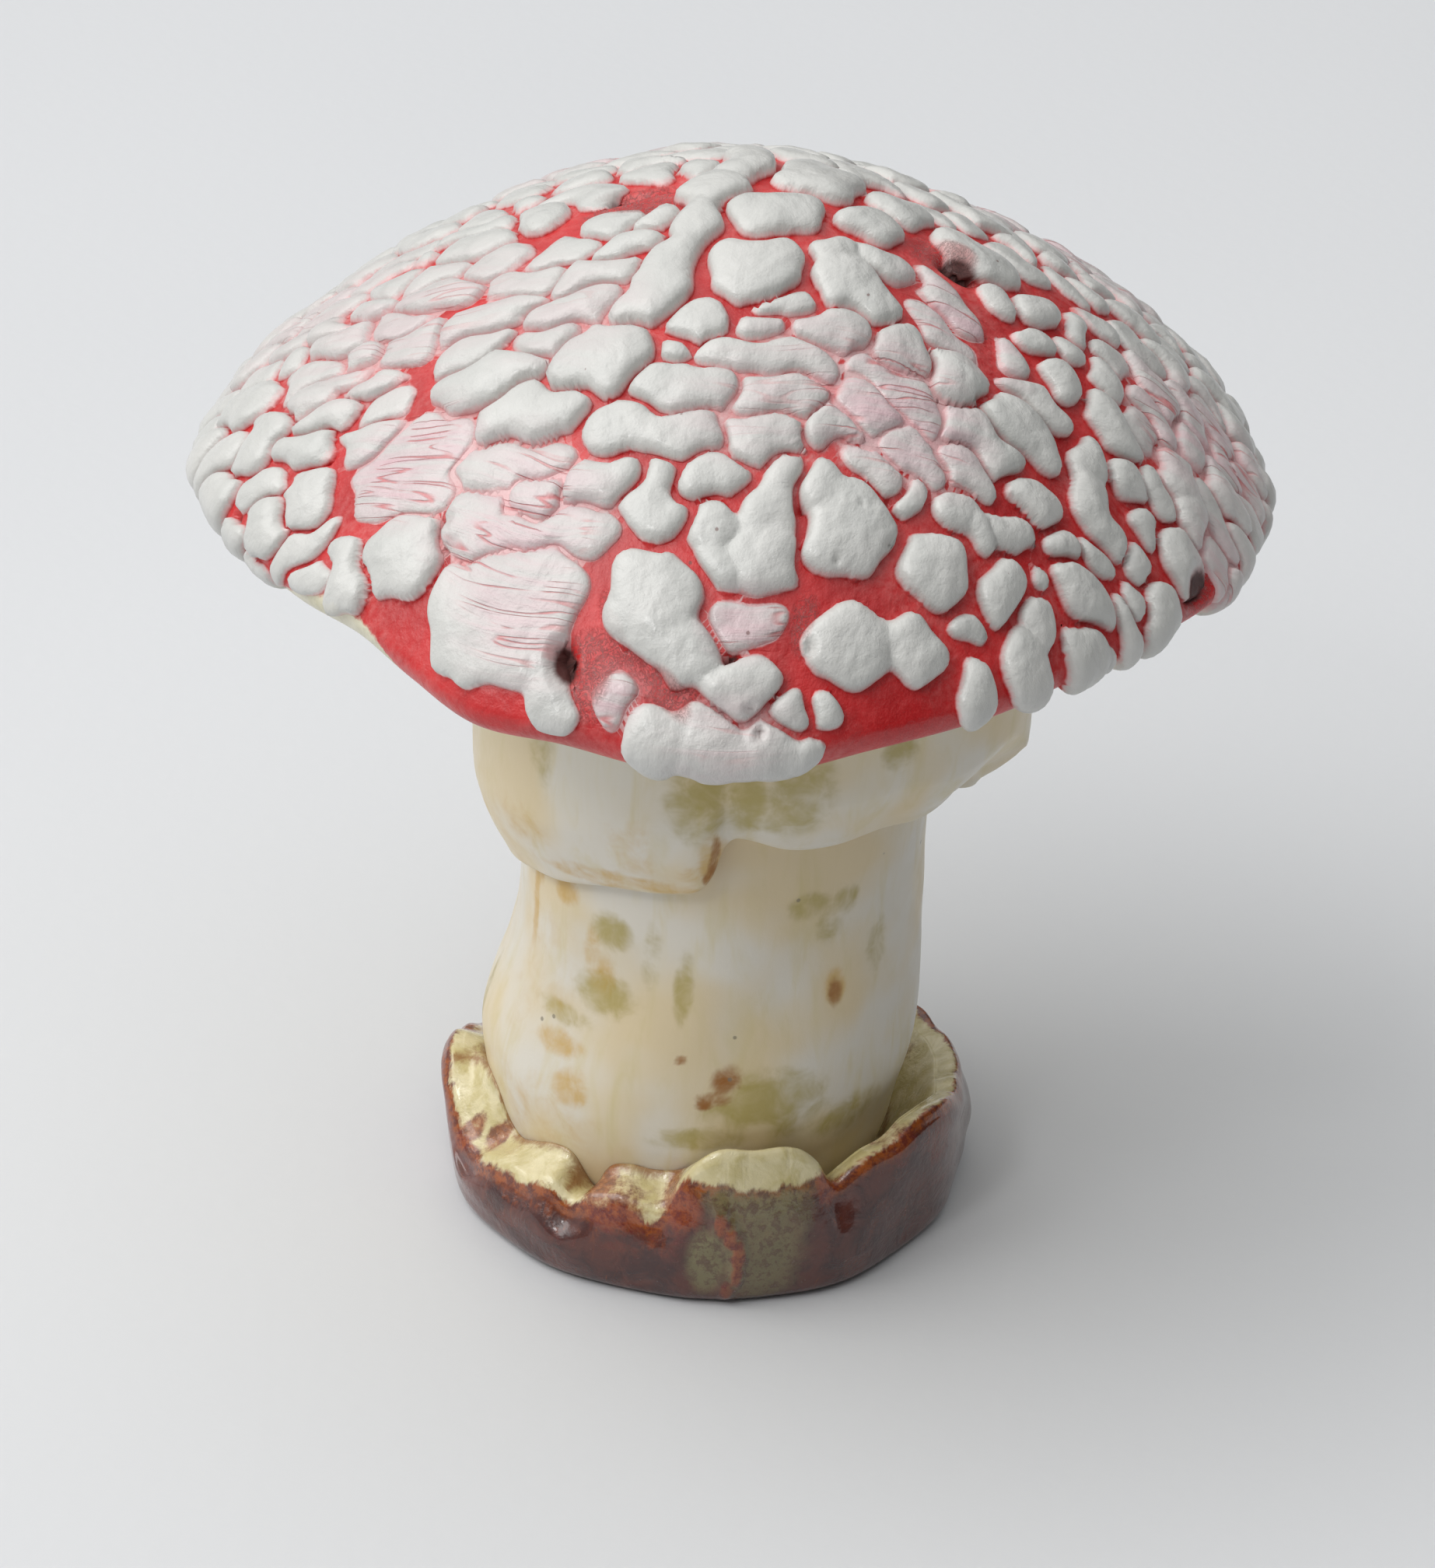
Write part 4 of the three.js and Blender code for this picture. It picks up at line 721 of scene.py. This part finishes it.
def smooth_reading(rows, z):
    """smooth open curve through rows of height and values"""
    rows = np.array(rows, float)
    slopes = np.gradient(rows[:, 1:], rows[:, 0], axis=0)
    z = np.clip(z, rows[0, 0], rows[-1, 0])
    i = np.clip(np.searchsorted(rows[:, 0], z, side="right") - 1, 0, len(rows) - 2)
    span = (rows[i + 1, 0] - rows[i, 0])[..., None]
    t = (z - rows[i, 0])[..., None] / span
    value = cubic(t, rows[i, 1:], slopes[i] * span, rows[i + 1, 1:], slopes[i + 1] * span)
    return np.moveaxis(value, -1, 0)


def stem_reach(a, z, axis):
    """distance from the upright line x = axis to the outside of the stem"""
    r, x = smooth_reading(STEM, z)
    off = x - axis
    return off * np.cos(a) + np.sqrt(r * r - (off * np.sin(a)) ** 2)


def kneaded(a, z, size, seed):
    """soft unevenness left by the maker's hands, about -1 to 1, in lumps of a size in millimetres"""
    total = 0
    for k in range(1, 6):
        turns = round(2 * np.pi * 26 / size * draw(seed + k, 1)) + 1
        climb = (2 * draw(seed + k, 2) - 1) * 2 * np.pi / size
        total = total + np.sin(turns * a + z * climb + 7 * draw(seed + k, 3))
    return total / 3


def stained(a, z, radius, rows):
    """how strongly a piece's skin is stained, 0 to 1"""
    total = np.zeros(a.shape)
    for azimuth, height, half_width, half_height, strength in rows:
        off = (np.degrees(a) - azimuth + 180) % 360 - 180
        k = np.hypot(np.radians(off) * radius / half_width, (z - height) / half_height)
        total = np.maximum(total, strength * np.clip(1.7 - k, 0, 1))
    return total


def net_faces(n, rings, closed=False):
    """triangles between rings of n points, their outside facing away from the axis"""
    r = np.arange(rings if closed else rings - 1)[:, None]
    i = np.arange(n)[None, :]
    j, up = (i + 1) % n, (r + 1) % rings
    squares = np.stack([r * n + i, r * n + j, up * n + j, up * n + i], -1).reshape(-1, 4)
    return np.concatenate([squares[:, [0, 1, 2]], squares[:, [0, 2, 3]]])


def closed_net(n, rings):
    """the same, with each end closed round a middle point; those two come last"""
    low, last = np.arange(n), n * rings
    after, high = np.roll(low, -1), last - n
    bottom = np.stack([after, low, last + 0 * low], 1)
    top = np.stack([high + low, high + after, last + 1 + 0 * low], 1)
    return np.concatenate([net_faces(n, rings), bottom, top])


angle = np.arange(STEM_AROUND) * 2 * np.pi / STEM_AROUND
z = np.linspace(STEM[0][0] - 0.3, SEAT_HEIGHT + STEM_BURY, STEM_RINGS)
aa, zz = np.meshgrid(angle, z)
r, shift = smooth_reading(STEM, zz)
loose = np.clip((zz - STEM_KNEADED[0]) / 6, 0, 1) * np.clip((STEM_KNEADED[1] - zz) / 8, 0, 1)
r = r + 0.28 * kneaded(aa, zz, 22, 40) * loose + 0.05 * kneaded(aa, zz, 7, 60) * loose
points = np.stack([shift + r * np.cos(aa), r * np.sin(aa), zz], -1).reshape(-1, 3)
points = np.concatenate([points, [[STEM[0][2], 0, z[0]], [STEM[-1][2], 0, z[-1]]]])
faces = closed_net(STEM_AROUND, STEM_RINGS)
a, z = aa.ravel(), zz.ravel()
two = np.zeros(2)
stem_mesh = mesh_of("stem", points, faces, {
    name: np.concatenate([stained(a, z, STEM_SKIN, rows), two])
    for name, rows in (("olive", OLIVE_STAINS), ("ochre", OCHRE_STAINS), ("brown", BROWN_STAINS))})

cream_finish, g = new_finish("stained_cream_glaze")
place = g.scaled(g.add("ShaderNodeTexCoord", out=3), 1 / MM)
broad = g.noise(place, 0.06)
fine = g.noise(place, 0.8, 3.0, 0.65)
runs = g.add("ShaderNodeMapping", {"Vector": place, "Scale": (0.3, 0.3, 0.07)})
runs = g.noise(runs, 1.0, 3.0, 0.6, 0.5)
mottle = g.noise(place, 0.3, 3.0, 0.6, 0.4)
colour = g.blend(g.fade(broad, 0.38, 0.62), paint(220, 214, 201), paint(219, 201, 164))
colour = g.blend(g.fade(runs, 0.45, 0.8, 0, 0.5), colour, paint(206, 190, 130))
for name, tint, most in (("olive", paint(164, 146, 56), 0.8), ("ochre", paint(200, 158, 66), 0.8),
                         ("brown", paint(150, 92, 14), 1.0)):
    stain = g.stir(g.read(name), mottle, 1.6)
    share = g.times(g.fade(stain, 0.1, 1.15, 0, most), g.fade(g.read(name), 0.0, 0.5))
    colour = g.blend(share, colour, tint)
specks = g.add("ShaderNodeTexVoronoi", {"Vector": place, "Scale": 0.16})
colour = g.blend(g.fade(specks, 0.03, 0.055, 0.7, 0), colour, paint(120, 110, 92))
rough = g.fade(mottle, 0.3, 0.7, 0.3, 0.44)
bumps = g.plus(g.times(fine, 0.07), g.times(broad, 0.5))
fire(g, colour, rough, bumps, 0.6, coat=0.15, coat_roughness=0.2)

stem = put("cream_stem", stem_mesh, cream_finish)
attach(stem, "root")
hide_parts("stem")

# Collar. One torn strip of clay wrapped round the top of the stem under the cap, glazed the same
# cream. Its ends meet at the front in a step, and a small tooth stands out at the right.
COLLAR = [
    # azimuth, height of the torn lower edge, how far it stands out at the top
    [0, 55.6, 33], [8, 56.6, 32.6], [30, 56.4, 32], [70, 55, 31.2], [110, 52, 31.2], [150, 49, 31.6],
    [175, 47.6, 31.6], [196, 46.6, 31.6], [212, 48.2, 31.4], [228, 50.4, 31], [243, 52.1, 30.6],
    [255, 53, 30.2], [260.5, 53.8, 30], [263.8, 56, 29.8], [266.6, 60.2, 29.6], [270, 61.4, 29.7],
    [282, 59.9, 30], [293, 60, 30.2], [306, 60.6, 30.8], [318, 60.2, 31.6], [328, 60.4, 32.4],
    [336, 61, 33], [342, 60.6, 33.2], [348, 58.6, 33.2], [353, 55.8, 33.2],
]
COLLAR_AXIS_X = 1.8
COLLAR_EDGE = (2.9, 2.2)  # thickness of the torn edge, and how much thicker it is at the right
COLLAR_ROLL = 1.2  # height of the rolled edge, where the swell begins
COLLAR_SWELL = (9.2, 1.9)  # height over which it swells, and how much less that is at the right
COLLAR_RIGHT = -0.3  # azimuth of that side, in radians
COLLAR_SKIN = 30
COLLAR_AROUND, COLLAR_POINTS = 900, 44
COLLAR_OLIVE = [
    (261, 68.2, 3.2, 5, 0.9), (271, 68.2, 2.2, 5, 0.9), (282, 70.4, 3.4, 6, 0.75), (304, 74.3, 1.8, 2.4, 1),
    (223, 68.5, 2, 5, 0.5), (278, 65.5, 3, 2, 0.5), (60, 66, 3, 6, 0.7), (110, 62, 2.4, 6, 0.7),
    (150, 60, 3, 5, 0.6), (15, 70, 3, 5, 0.6),
]
COLLAR_OCHRE = [
    (216, 57.1, 4, 3, 0.45), (246, 59.4, 3, 4, 0.4), (249, 54, 9, 1, 0.75), (232, 52.4, 7, 0.9, 0.6),
    (264, 59, 1.4, 3.6, 0.9), (258, 56, 2.2, 2, 0.6), (200, 52, 5, 6, 0.3), (90, 55, 8, 1.5, 0.6),
]
COLLAR_BROWN = [(264.6, 60.8, 0.5, 1.8, 0.8), (264, 58, 0.5, 1.4, 0.8), (262.6, 56, 0.5, 1, 0.7)]


def through(controls, count):
    """smooth line of count points through control points held in rows, one line a column"""
    p = np.stack(controls)
    p = np.concatenate([2 * p[:1] - p[1:2], p, 2 * p[-1:] - p[-2:-1]])
    t = np.linspace(0, len(controls) - 1, count)
    i = np.clip(t.astype(int), 0, len(controls) - 2)
    f = (t - i)[:, None, None]
    p0, p1, p2, p3 = p[i], p[i + 1], p[i + 2], p[i + 3]
    bend, twist = 2 * p0 - 5 * p1 + 4 * p2 - p3, 3 * p1 - p0 - 3 * p2 + p3
    return p1 + f * ((p2 - p0) / 2 + f * (bend / 2 + f * twist / 2))


angle = np.arange(COLLAR_AROUND) * 2 * np.pi / COLLAR_AROUND
edge, out = around(COLLAR, np.degrees(angle))
edge = edge + 0.25 * kneaded(angle, 0, 6, 90)
roll = edge + COLLAR_ROLL
thick = COLLAR_EDGE[0] + COLLAR_EDGE[1] * np.clip(np.cos(angle - COLLAR_RIGHT), 0, 1)
swell_height = COLLAR_SWELL[0] - COLLAR_SWELL[1] * np.cos(angle)
lip = stem_reach(angle, edge, COLLAR_AXIS_X) + thick
out = np.maximum(out, lip + 1)


def at(r, z):
    """one row of control points, all round"""
    return np.stack([r + 0 * angle, z + 0 * angle], -1)


def swell(share):
    return at(lip + (out - lip) * math.sin(share * math.pi / 2), roll + swell_height * share)


controls = [
    at(stem_reach(angle, edge + 4, COLLAR_AXIS_X) - 0.6, edge + 4),
    at(stem_reach(angle, roll, COLLAR_AXIS_X) - 0.4, roll),
    at(lip - thick * 0.72, edge + 0.15), at(lip - thick * 0.38, edge - 0.1), at(lip - 0.35, edge + 0.45),
    swell(0.06), swell(0.3), swell(0.65), swell(1),
    at(out, (roll + swell_height + SEAT_HEIGHT) / 2),
    at(out - 0.1, SEAT_HEIGHT - 4), at(out - 0.1, SEAT_HEIGHT + 0.3),
    at(stem_reach(angle, SEAT_HEIGHT + 0 * angle, COLLAR_AXIS_X) - 0.6, SEAT_HEIGHT + 0.3),
]
profile = through(controls, COLLAR_POINTS)
r, z = profile[..., 0], profile[..., 1]
aa = np.broadcast_to(angle, r.shape)
share = np.clip((z - edge - 1) / 6, 0, 1)
r = r + 0.3 * kneaded(aa, z, 20, 120) * share * (r > lip - 0.5)
points = np.stack([COLLAR_AXIS_X + r * np.cos(aa), r * np.sin(aa), z], -1).reshape(-1, 3)
a, zz = aa.ravel(), z.ravel()
collar_mesh = mesh_of("collar", points, net_faces(COLLAR_AROUND, COLLAR_POINTS, True), {
    name: stained(a, zz, COLLAR_SKIN, rows)
    for name, rows in (("olive", COLLAR_OLIVE), ("ochre", COLLAR_OCHRE), ("brown", COLLAR_BROWN))})
collar = put("torn_collar", collar_mesh, cream_finish)
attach(collar, "root")
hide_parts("collar")

# Cup. A shallow cup of clay pinched up round the foot, its torn lip folded over in places. Brown
# glaze covers the outside, breaks to rust at the edges, and gives way to cream on the lip and inside.
CUP = [
    # azimuth, height, radius and thickness of the lip, height where its inner slope meets the stem
    [0, 14, 30.6, 3.6, 7], [20, 13.2, 30.6, 3.6, 7], [36, 12.6, 30.4, 3.6, 8], [70, 13.4, 30.4, 3.6, 9],
    [110, 11.6, 30.6, 3.4, 9.5], [140, 9, 30.8, 3, 8.6], [152, 9, 30.9, 3, 9], [160, 10.4, 31, 2.6, 10],
    [168, 12.4, 31.2, 2.2, 12], [176, 14.6, 31.3, 2.2, 13.4], [184, 15.2, 31.4, 2.2, 14.2],
    [190, 13.4, 31.2, 2.6, 15], [196, 10.6, 30.9, 3, 15.6], [202, 8.6, 30.5, 3.4, 14.6],
    [207, 7.6, 30.4, 3.6, 11.4], [212, 9.4, 30.4, 3.4, 10.4], [220, 10.4, 30.2, 3.2, 12],
    [228, 11.2, 30.1, 3.2, 13.6], [234, 12, 30, 3.2, 13.4], [240, 10.4, 29.7, 3.4, 9.4],
    [245, 12.2, 29.8, 3.4, 13.4], [251, 13.4, 29.8, 3.2, 14.6], [257, 12.4, 29.7, 3.2, 14.4],
    [262, 13, 29.6, 3.2, 14.6], [266.5, 17.2, 29.4, 3, 15], [271, 19.6, 29.1, 2.8, 14],
    [278, 20.4, 29, 2.8, 13], [286, 20.4, 29.1, 2.8, 12], [293, 19.8, 29.3, 2.8, 11],
    [297.5, 17.6, 29.6, 3, 10], [301.5, 14.4, 29.8, 3.4, 9], [306, 15.6, 30.1, 3.2, 8.5],
    [316, 17.6, 30.6, 3, 8], [328, 18.8, 30.9, 3, 7], [338, 17.6, 31, 3.2, 6.5], [349, 15.2, 30.8, 3.4, 7],
]
CUP_AXIS_X = -0.5
CUP_FOOT_RADIUS = 29.3
CUP_RADIUS = 31.6
CUP_EDGE_HEIGHT = 3  # height at which the wall rises from the foot
CUP_FLOOR = 4
CUP_SKIN = 31
CUP_AROUND, CUP_POINTS = 1000, 78
LIP_CONTROL = 6.5  # number of the control point, from the foot, at which the lip turns inward
CREASE_REACH = 1.6  # height over which rust has gathered where the cup meets the stem
# azimuth, gap left between the inner slope and the stem, how far down the outside the lip's cream reaches
CUP_CREAM = [
    (0, 1, 0.6), (40, 0.4, -0.6), (90, 0.2, -0.5), (150, 0, -1.2), (170, 0, -0.6), (180, 0, 0.4),
    (192, 0, 1), (200, 0, 1.4), (206, 0, 0.2), (212, 0, 1.6), (225, 0, 2), (236, 0, 1.6), (241, 0.3, 1),
    (246, 0, 2.2), (252, 0, 1.6), (260, 0, 3), (266, 0, 1.4), (271, 0, 4), (280, 0.2, 5.4), (292, 0.4, 4.8),
    (298, 0.5, 2.2), (302, 0.6, 0.2), (312, 0.8, 0.6), (330, 1.2, 0.2),
]
CUP_OLIVE = [
    (272, 6.6, 2.1, 4.2, 1), (283, 8.5, 5.2, 7.5, 0.8), (290, 13, 3, 4, 0.7), (283, 15, 6.5, 3, 0.9),
    (284, 3.4, 4.4, 2.6, 0.7), (259, 12.5, 3, 1.2, 0.6), (120, 9, 4, 4, 0.6), (40, 7, 4, 4, 0.6),
]
# rust marks: azimuth, height, half width, half height, how strong. They colour the inside of the cup as
# well, so the marks at 318 and 333 darken the inner slope at the right: partly real brown mottling, partly
# painted shade where the stem shades the cup
CUP_RUST_AND_SHADE = [
    (274.6, 12, 0.8, 1.6, 1), (276.8, 10.2, 0.8, 1.6, 1), (278.6, 7.8, 0.8, 2, 1), (278.4, 5, 0.7, 2, 0.9),
    (276.6, 2.6, 0.8, 1.4, 0.8), (251, 11, 4, 2.6, 0.9), (254, 6.7, 3, 1.2, 0.6), (245, 13, 2.4, 2, 1),
    (207, 9.6, 1.4, 1.6, 1), (201, 8.6, 1.2, 2.4, 1), (266, 13, 2.6, 2.6, 1), (299.5, 14.5, 1.6, 2.4, 1),
    (236, 6, 6, 1.2, 0.5), (225, 4.4, 5, 0.9, 0.5), (318, 17, 3, 3.4, 0.7), (333, 14, 3, 4, 0.7),
    (262, 10, 3, 4, 0.6), (60, 10, 4, 4, 0.7), (95, 12, 5, 2.4, 0.8), (140, 12, 5, 3, 0.8),
    (20, 9, 3, 3, 0.7),
]
MAUVE = [(188, 7, 5, 8, 0.9), (172, 9, 5, 7, 0.6), (206, 4, 4, 4, 0.3), (345, 10, 5, 6, 0.3)]

angle = np.arange(CUP_AROUND) * 2 * np.pi / CUP_AROUND
lip, out, thick, meet = around(CUP, np.degrees(angle))
gap, cream_reach = around(CUP_CREAM, np.degrees(angle))
lip = lip + 0.3 * kneaded(angle, 0, 5, 200)
wall = CUP_RADIUS + 0.35 * np.sin(5 * angle + 1) + 0.25 * np.sin(11 * angle)


def stem_side(z, clear):
    return at(stem_reach(angle, z, CUP_AXIS_X) + clear, z)


touch = stem_reach(angle, meet, CUP_AXIS_X) + gap


def slope(share):
    """inner side of the lip: share of its thickness, falling or rising to meet the stem"""
    r = np.maximum(out - thick * share, touch + 0.2)
    return at(r, lip + (meet - lip) * ((out - r) / (out - touch)) ** 2)


controls = [
    at(CUP_FOOT_RADIUS, 0), at(CUP_FOOT_RADIUS + (wall - CUP_FOOT_RADIUS) * 0.72, 0.75),
    at(wall, CUP_EDGE_HEIGHT), at(wall + 0.25, CUP_EDGE_HEIGHT + (lip - CUP_EDGE_HEIGHT) * 0.4),
    at(out + 0.75, lip - 2.6), at(out + 0.35, lip - 1.1), at(out - 0.3, lip - 0.2),
    slope(0.35), slope(0.7), slope(1),
    at(touch, meet), stem_side(meet * 0.8, gap * 0.6 - 0.2), stem_side(CUP_FLOOR + 0.5 + 0 * angle, -0.3),
]
profile = through(controls, CUP_POINTS)
r, z = profile[..., 0], profile[..., 1]
z = np.maximum(z, 0)
aa = np.broadcast_to(angle, r.shape)
outside = np.arange(CUP_POINTS)[:, None] / (CUP_POINTS - 1) * (len(controls) - 1) < LIP_CONTROL
free = np.clip(z / 3, 0, 1) * (r > stem_reach(aa, z, CUP_AXIS_X) + 0.4)
r = r + (0.2 * kneaded(aa, z, 13, 220) + 0.12 * kneaded(aa, z, 4, 240)) * free
a, zz = aa.ravel(), z.ravel()
lap = stained(a, zz, CUP_SKIN, CUP_RUST_AND_SHADE[:5]).reshape(r.shape)
patch = stained(a, zz, CUP_SKIN, CUP_OLIVE[:1]).reshape(r.shape)
r = r + outside * (0.55 * lap - 0.3 * patch)
points = np.stack([CUP_AXIS_X + r * np.cos(aa), r * np.sin(aa), z], -1).reshape(-1, 3)
points = np.concatenate([points, [[CUP_AXIS_X, 0, 0], [CUP_AXIS_X, 0, CUP_FLOOR]]])
faces = closed_net(CUP_AROUND, CUP_POINTS)
steps_down = np.hypot(np.diff(r, axis=0), np.diff(z, axis=0))
walked = np.concatenate([np.zeros((1, CUP_AROUND)), np.cumsum(steps_down, 0)])
crest = walked[round((LIP_CONTROL + 0.1) / (len(controls) - 1) * (CUP_POINTS - 1))]
below_lip = crest - walked - cream_reach  # along the skin, down the outside
on_outside = outside + 0 * r > 0.5
fields = {}
# the rust marks reach the inside too, where at the right they are partly painted shade
for name, rows, inside in (("olive", CUP_OLIVE, 0), ("rust", CUP_RUST_AND_SHADE, 1), ("mauve", MAUVE, 0)):
    stain = stained(a, zz, CUP_SKIN, rows) * np.maximum(on_outside.ravel(), inside)
    fields[name] = np.concatenate([stain, two])
fields["brown_from"] = np.concatenate([below_lip.ravel(), two - 9])
crease = np.clip(1 - np.abs(z - meet) / CREASE_REACH, 0, 1) * ~on_outside
fields["crease"] = np.concatenate([crease.ravel(), two])
cup_mesh = mesh_of("cup", points, faces, fields)

cup_finish, g = new_finish("brown_cup_glaze")
place = g.scaled(g.add("ShaderNodeTexCoord", out=3), 1 / MM)
fine = g.noise(place, 0.9, 4.0, 0.7)
mottle = g.noise(place, 0.28, 3.0, 0.6, 0.6)
runs = g.add("ShaderNodeMapping", {"Vector": place, "Scale": (0.5, 0.5, 0.16)})
runs = g.noise(runs, 1.0, 4.0, 0.7, 0.8)
start = g.stir(g.read("brown_from"), runs, 3.2)
cream = g.blend(g.fade(mottle, 0.35, 0.65), paint(226, 214, 172), paint(202, 188, 134))
rust = g.blend(g.fade(fine, 0.4, 0.62), paint(158, 84, 38), paint(104, 50, 34))
brown = g.blend(g.fade(mottle, 0.35, 0.68), paint(96, 54, 46), paint(68, 40, 38))
streak = g.fade(g.minus(runs, g.fade(start, 0, 9, 0, 0.12)), 0.5, 0.66, 0, 0.75)
brown = g.blend(streak, brown, paint(140, 72, 40))
mauve = g.times(g.read("mauve"), g.fade(fine, 0.3, 0.6, 0.5, 1))
brown = g.blend(mauve, brown, paint(156, 124, 122))
colour = g.blend(g.fade(start, -0.7, 0.1), cream, rust)
colour = g.blend(g.fade(start, 0.4, 2.2), colour, brown)
olive = g.stir(g.read("olive"), fine, 0.8)
olive = g.times(g.fade(olive, 0.3, 0.9, 0, 0.9), g.fade(start, -1, 1))
colour = g.blend(olive, colour, g.blend(g.fade(fine, 0.45, 0.6), paint(128, 120, 84), paint(104, 84, 62)))
# rust marks, with the painted shade on the inner slope at the right laid in the same colour
rust_and_shade = g.stir(g.read("rust"), fine, 1.2)
rust_and_shade_colour = g.blend(g.fade(fine, 0.4, 0.65), paint(158, 80, 44), paint(112, 44, 36))
colour = g.blend(g.fade(rust_and_shade, 0.45, 1.0, 0, 0.85), colour, rust_and_shade_colour)
crease = g.stir(g.read("crease"), runs, 1.4)
colour = g.blend(g.fade(crease, 0.5, 1.1, 0, 0.8), colour, paint(140, 86, 40))
rough = g.fade(fine, 0.3, 0.7, 0.14, 0.28)
bumps = g.plus(g.times(fine, 0.16), g.times(mottle, 0.35))
fire(g, colour, rough, bumps, 0.8, coat=0.5, coat_roughness=0.05)

cup = put("pinched_cup", cup_mesh, cup_finish)
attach(cup, "root")
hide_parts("cup")

# Floor. The pale sheet that the mushroom was photographed on.
FLOOR_HALF = 4.0
FLOOR_LEVEL = -0.0001
sheet = bpy.data.meshes.new("floor")
corners = ((-1, -1), (1, -1), (1, 1), (-1, 1))
sheet.from_pydata([(FLOOR_HALF * i, FLOOR_HALF * j, FLOOR_LEVEL) for i, j in corners], [], [(0, 1, 2, 3)])
floor_finish, g = new_finish("pale_sheet")
place = g.add("ShaderNodeTexCoord", out=3)
tone = g.blend(g.fade(g.noise(place, 3.0), 0.3, 0.7), paint(213, 214, 216), paint(210, 211, 213))
fire(g, tone, 0.9, g.noise(place, 400.0), 0.05)
floor = put("floor", sheet, floor_finish)

# Light. A wide soft window at the left, a smaller one in front of it that leaves the small
# highlights on the glaze, and the pale room all round.
LIGHTS = [
    # name, place, size, power, colour
    ("window", (-1.0, -0.15, 1.3), 1.3, 13.8, (1.0, 0.99, 0.975)),
    ("front_window", (-0.42, -0.62, 0.78), 0.16, 1.2, (1.0, 1.0, 1.0)),
]
LIT = Vector((0, 0, 0.07))  # place that both face
BRIGHTEST = (-0.32, 0.1, 0.94)  # direction in which the pale room is brightest
for name, spot, size, power, tint in LIGHTS:
    lamp = bpy.data.lights.new(name, "AREA")
    lamp.size, lamp.energy, lamp.color = size, power, tint
    light = put(name, lamp)
    light.location = spot
    light.rotation_euler = (LIT - light.location).to_track_quat("-Z", "Y").to_euler()
room = bpy.data.worlds.new("room")
room.use_nodes = True
room.node_tree.nodes.clear()
g = Recipe(room.node_tree)
outward = g.add("ShaderNodeTexCoord")
overhead = g.add("ShaderNodeVectorMath", {0: outward, 1: BRIGHTEST}, 1, operation="DOT_PRODUCT")
sky = g.add("ShaderNodeBackground", {
    "Color": (0.87, 0.88, 0.885, 1), "Strength": g.fade(overhead, 0.1, 1.0, 0.0, 1.36)})
g.add("ShaderNodeOutputWorld", {"Surface": sky})
scene.world = room
scene.view_settings.view_transform = "Standard"
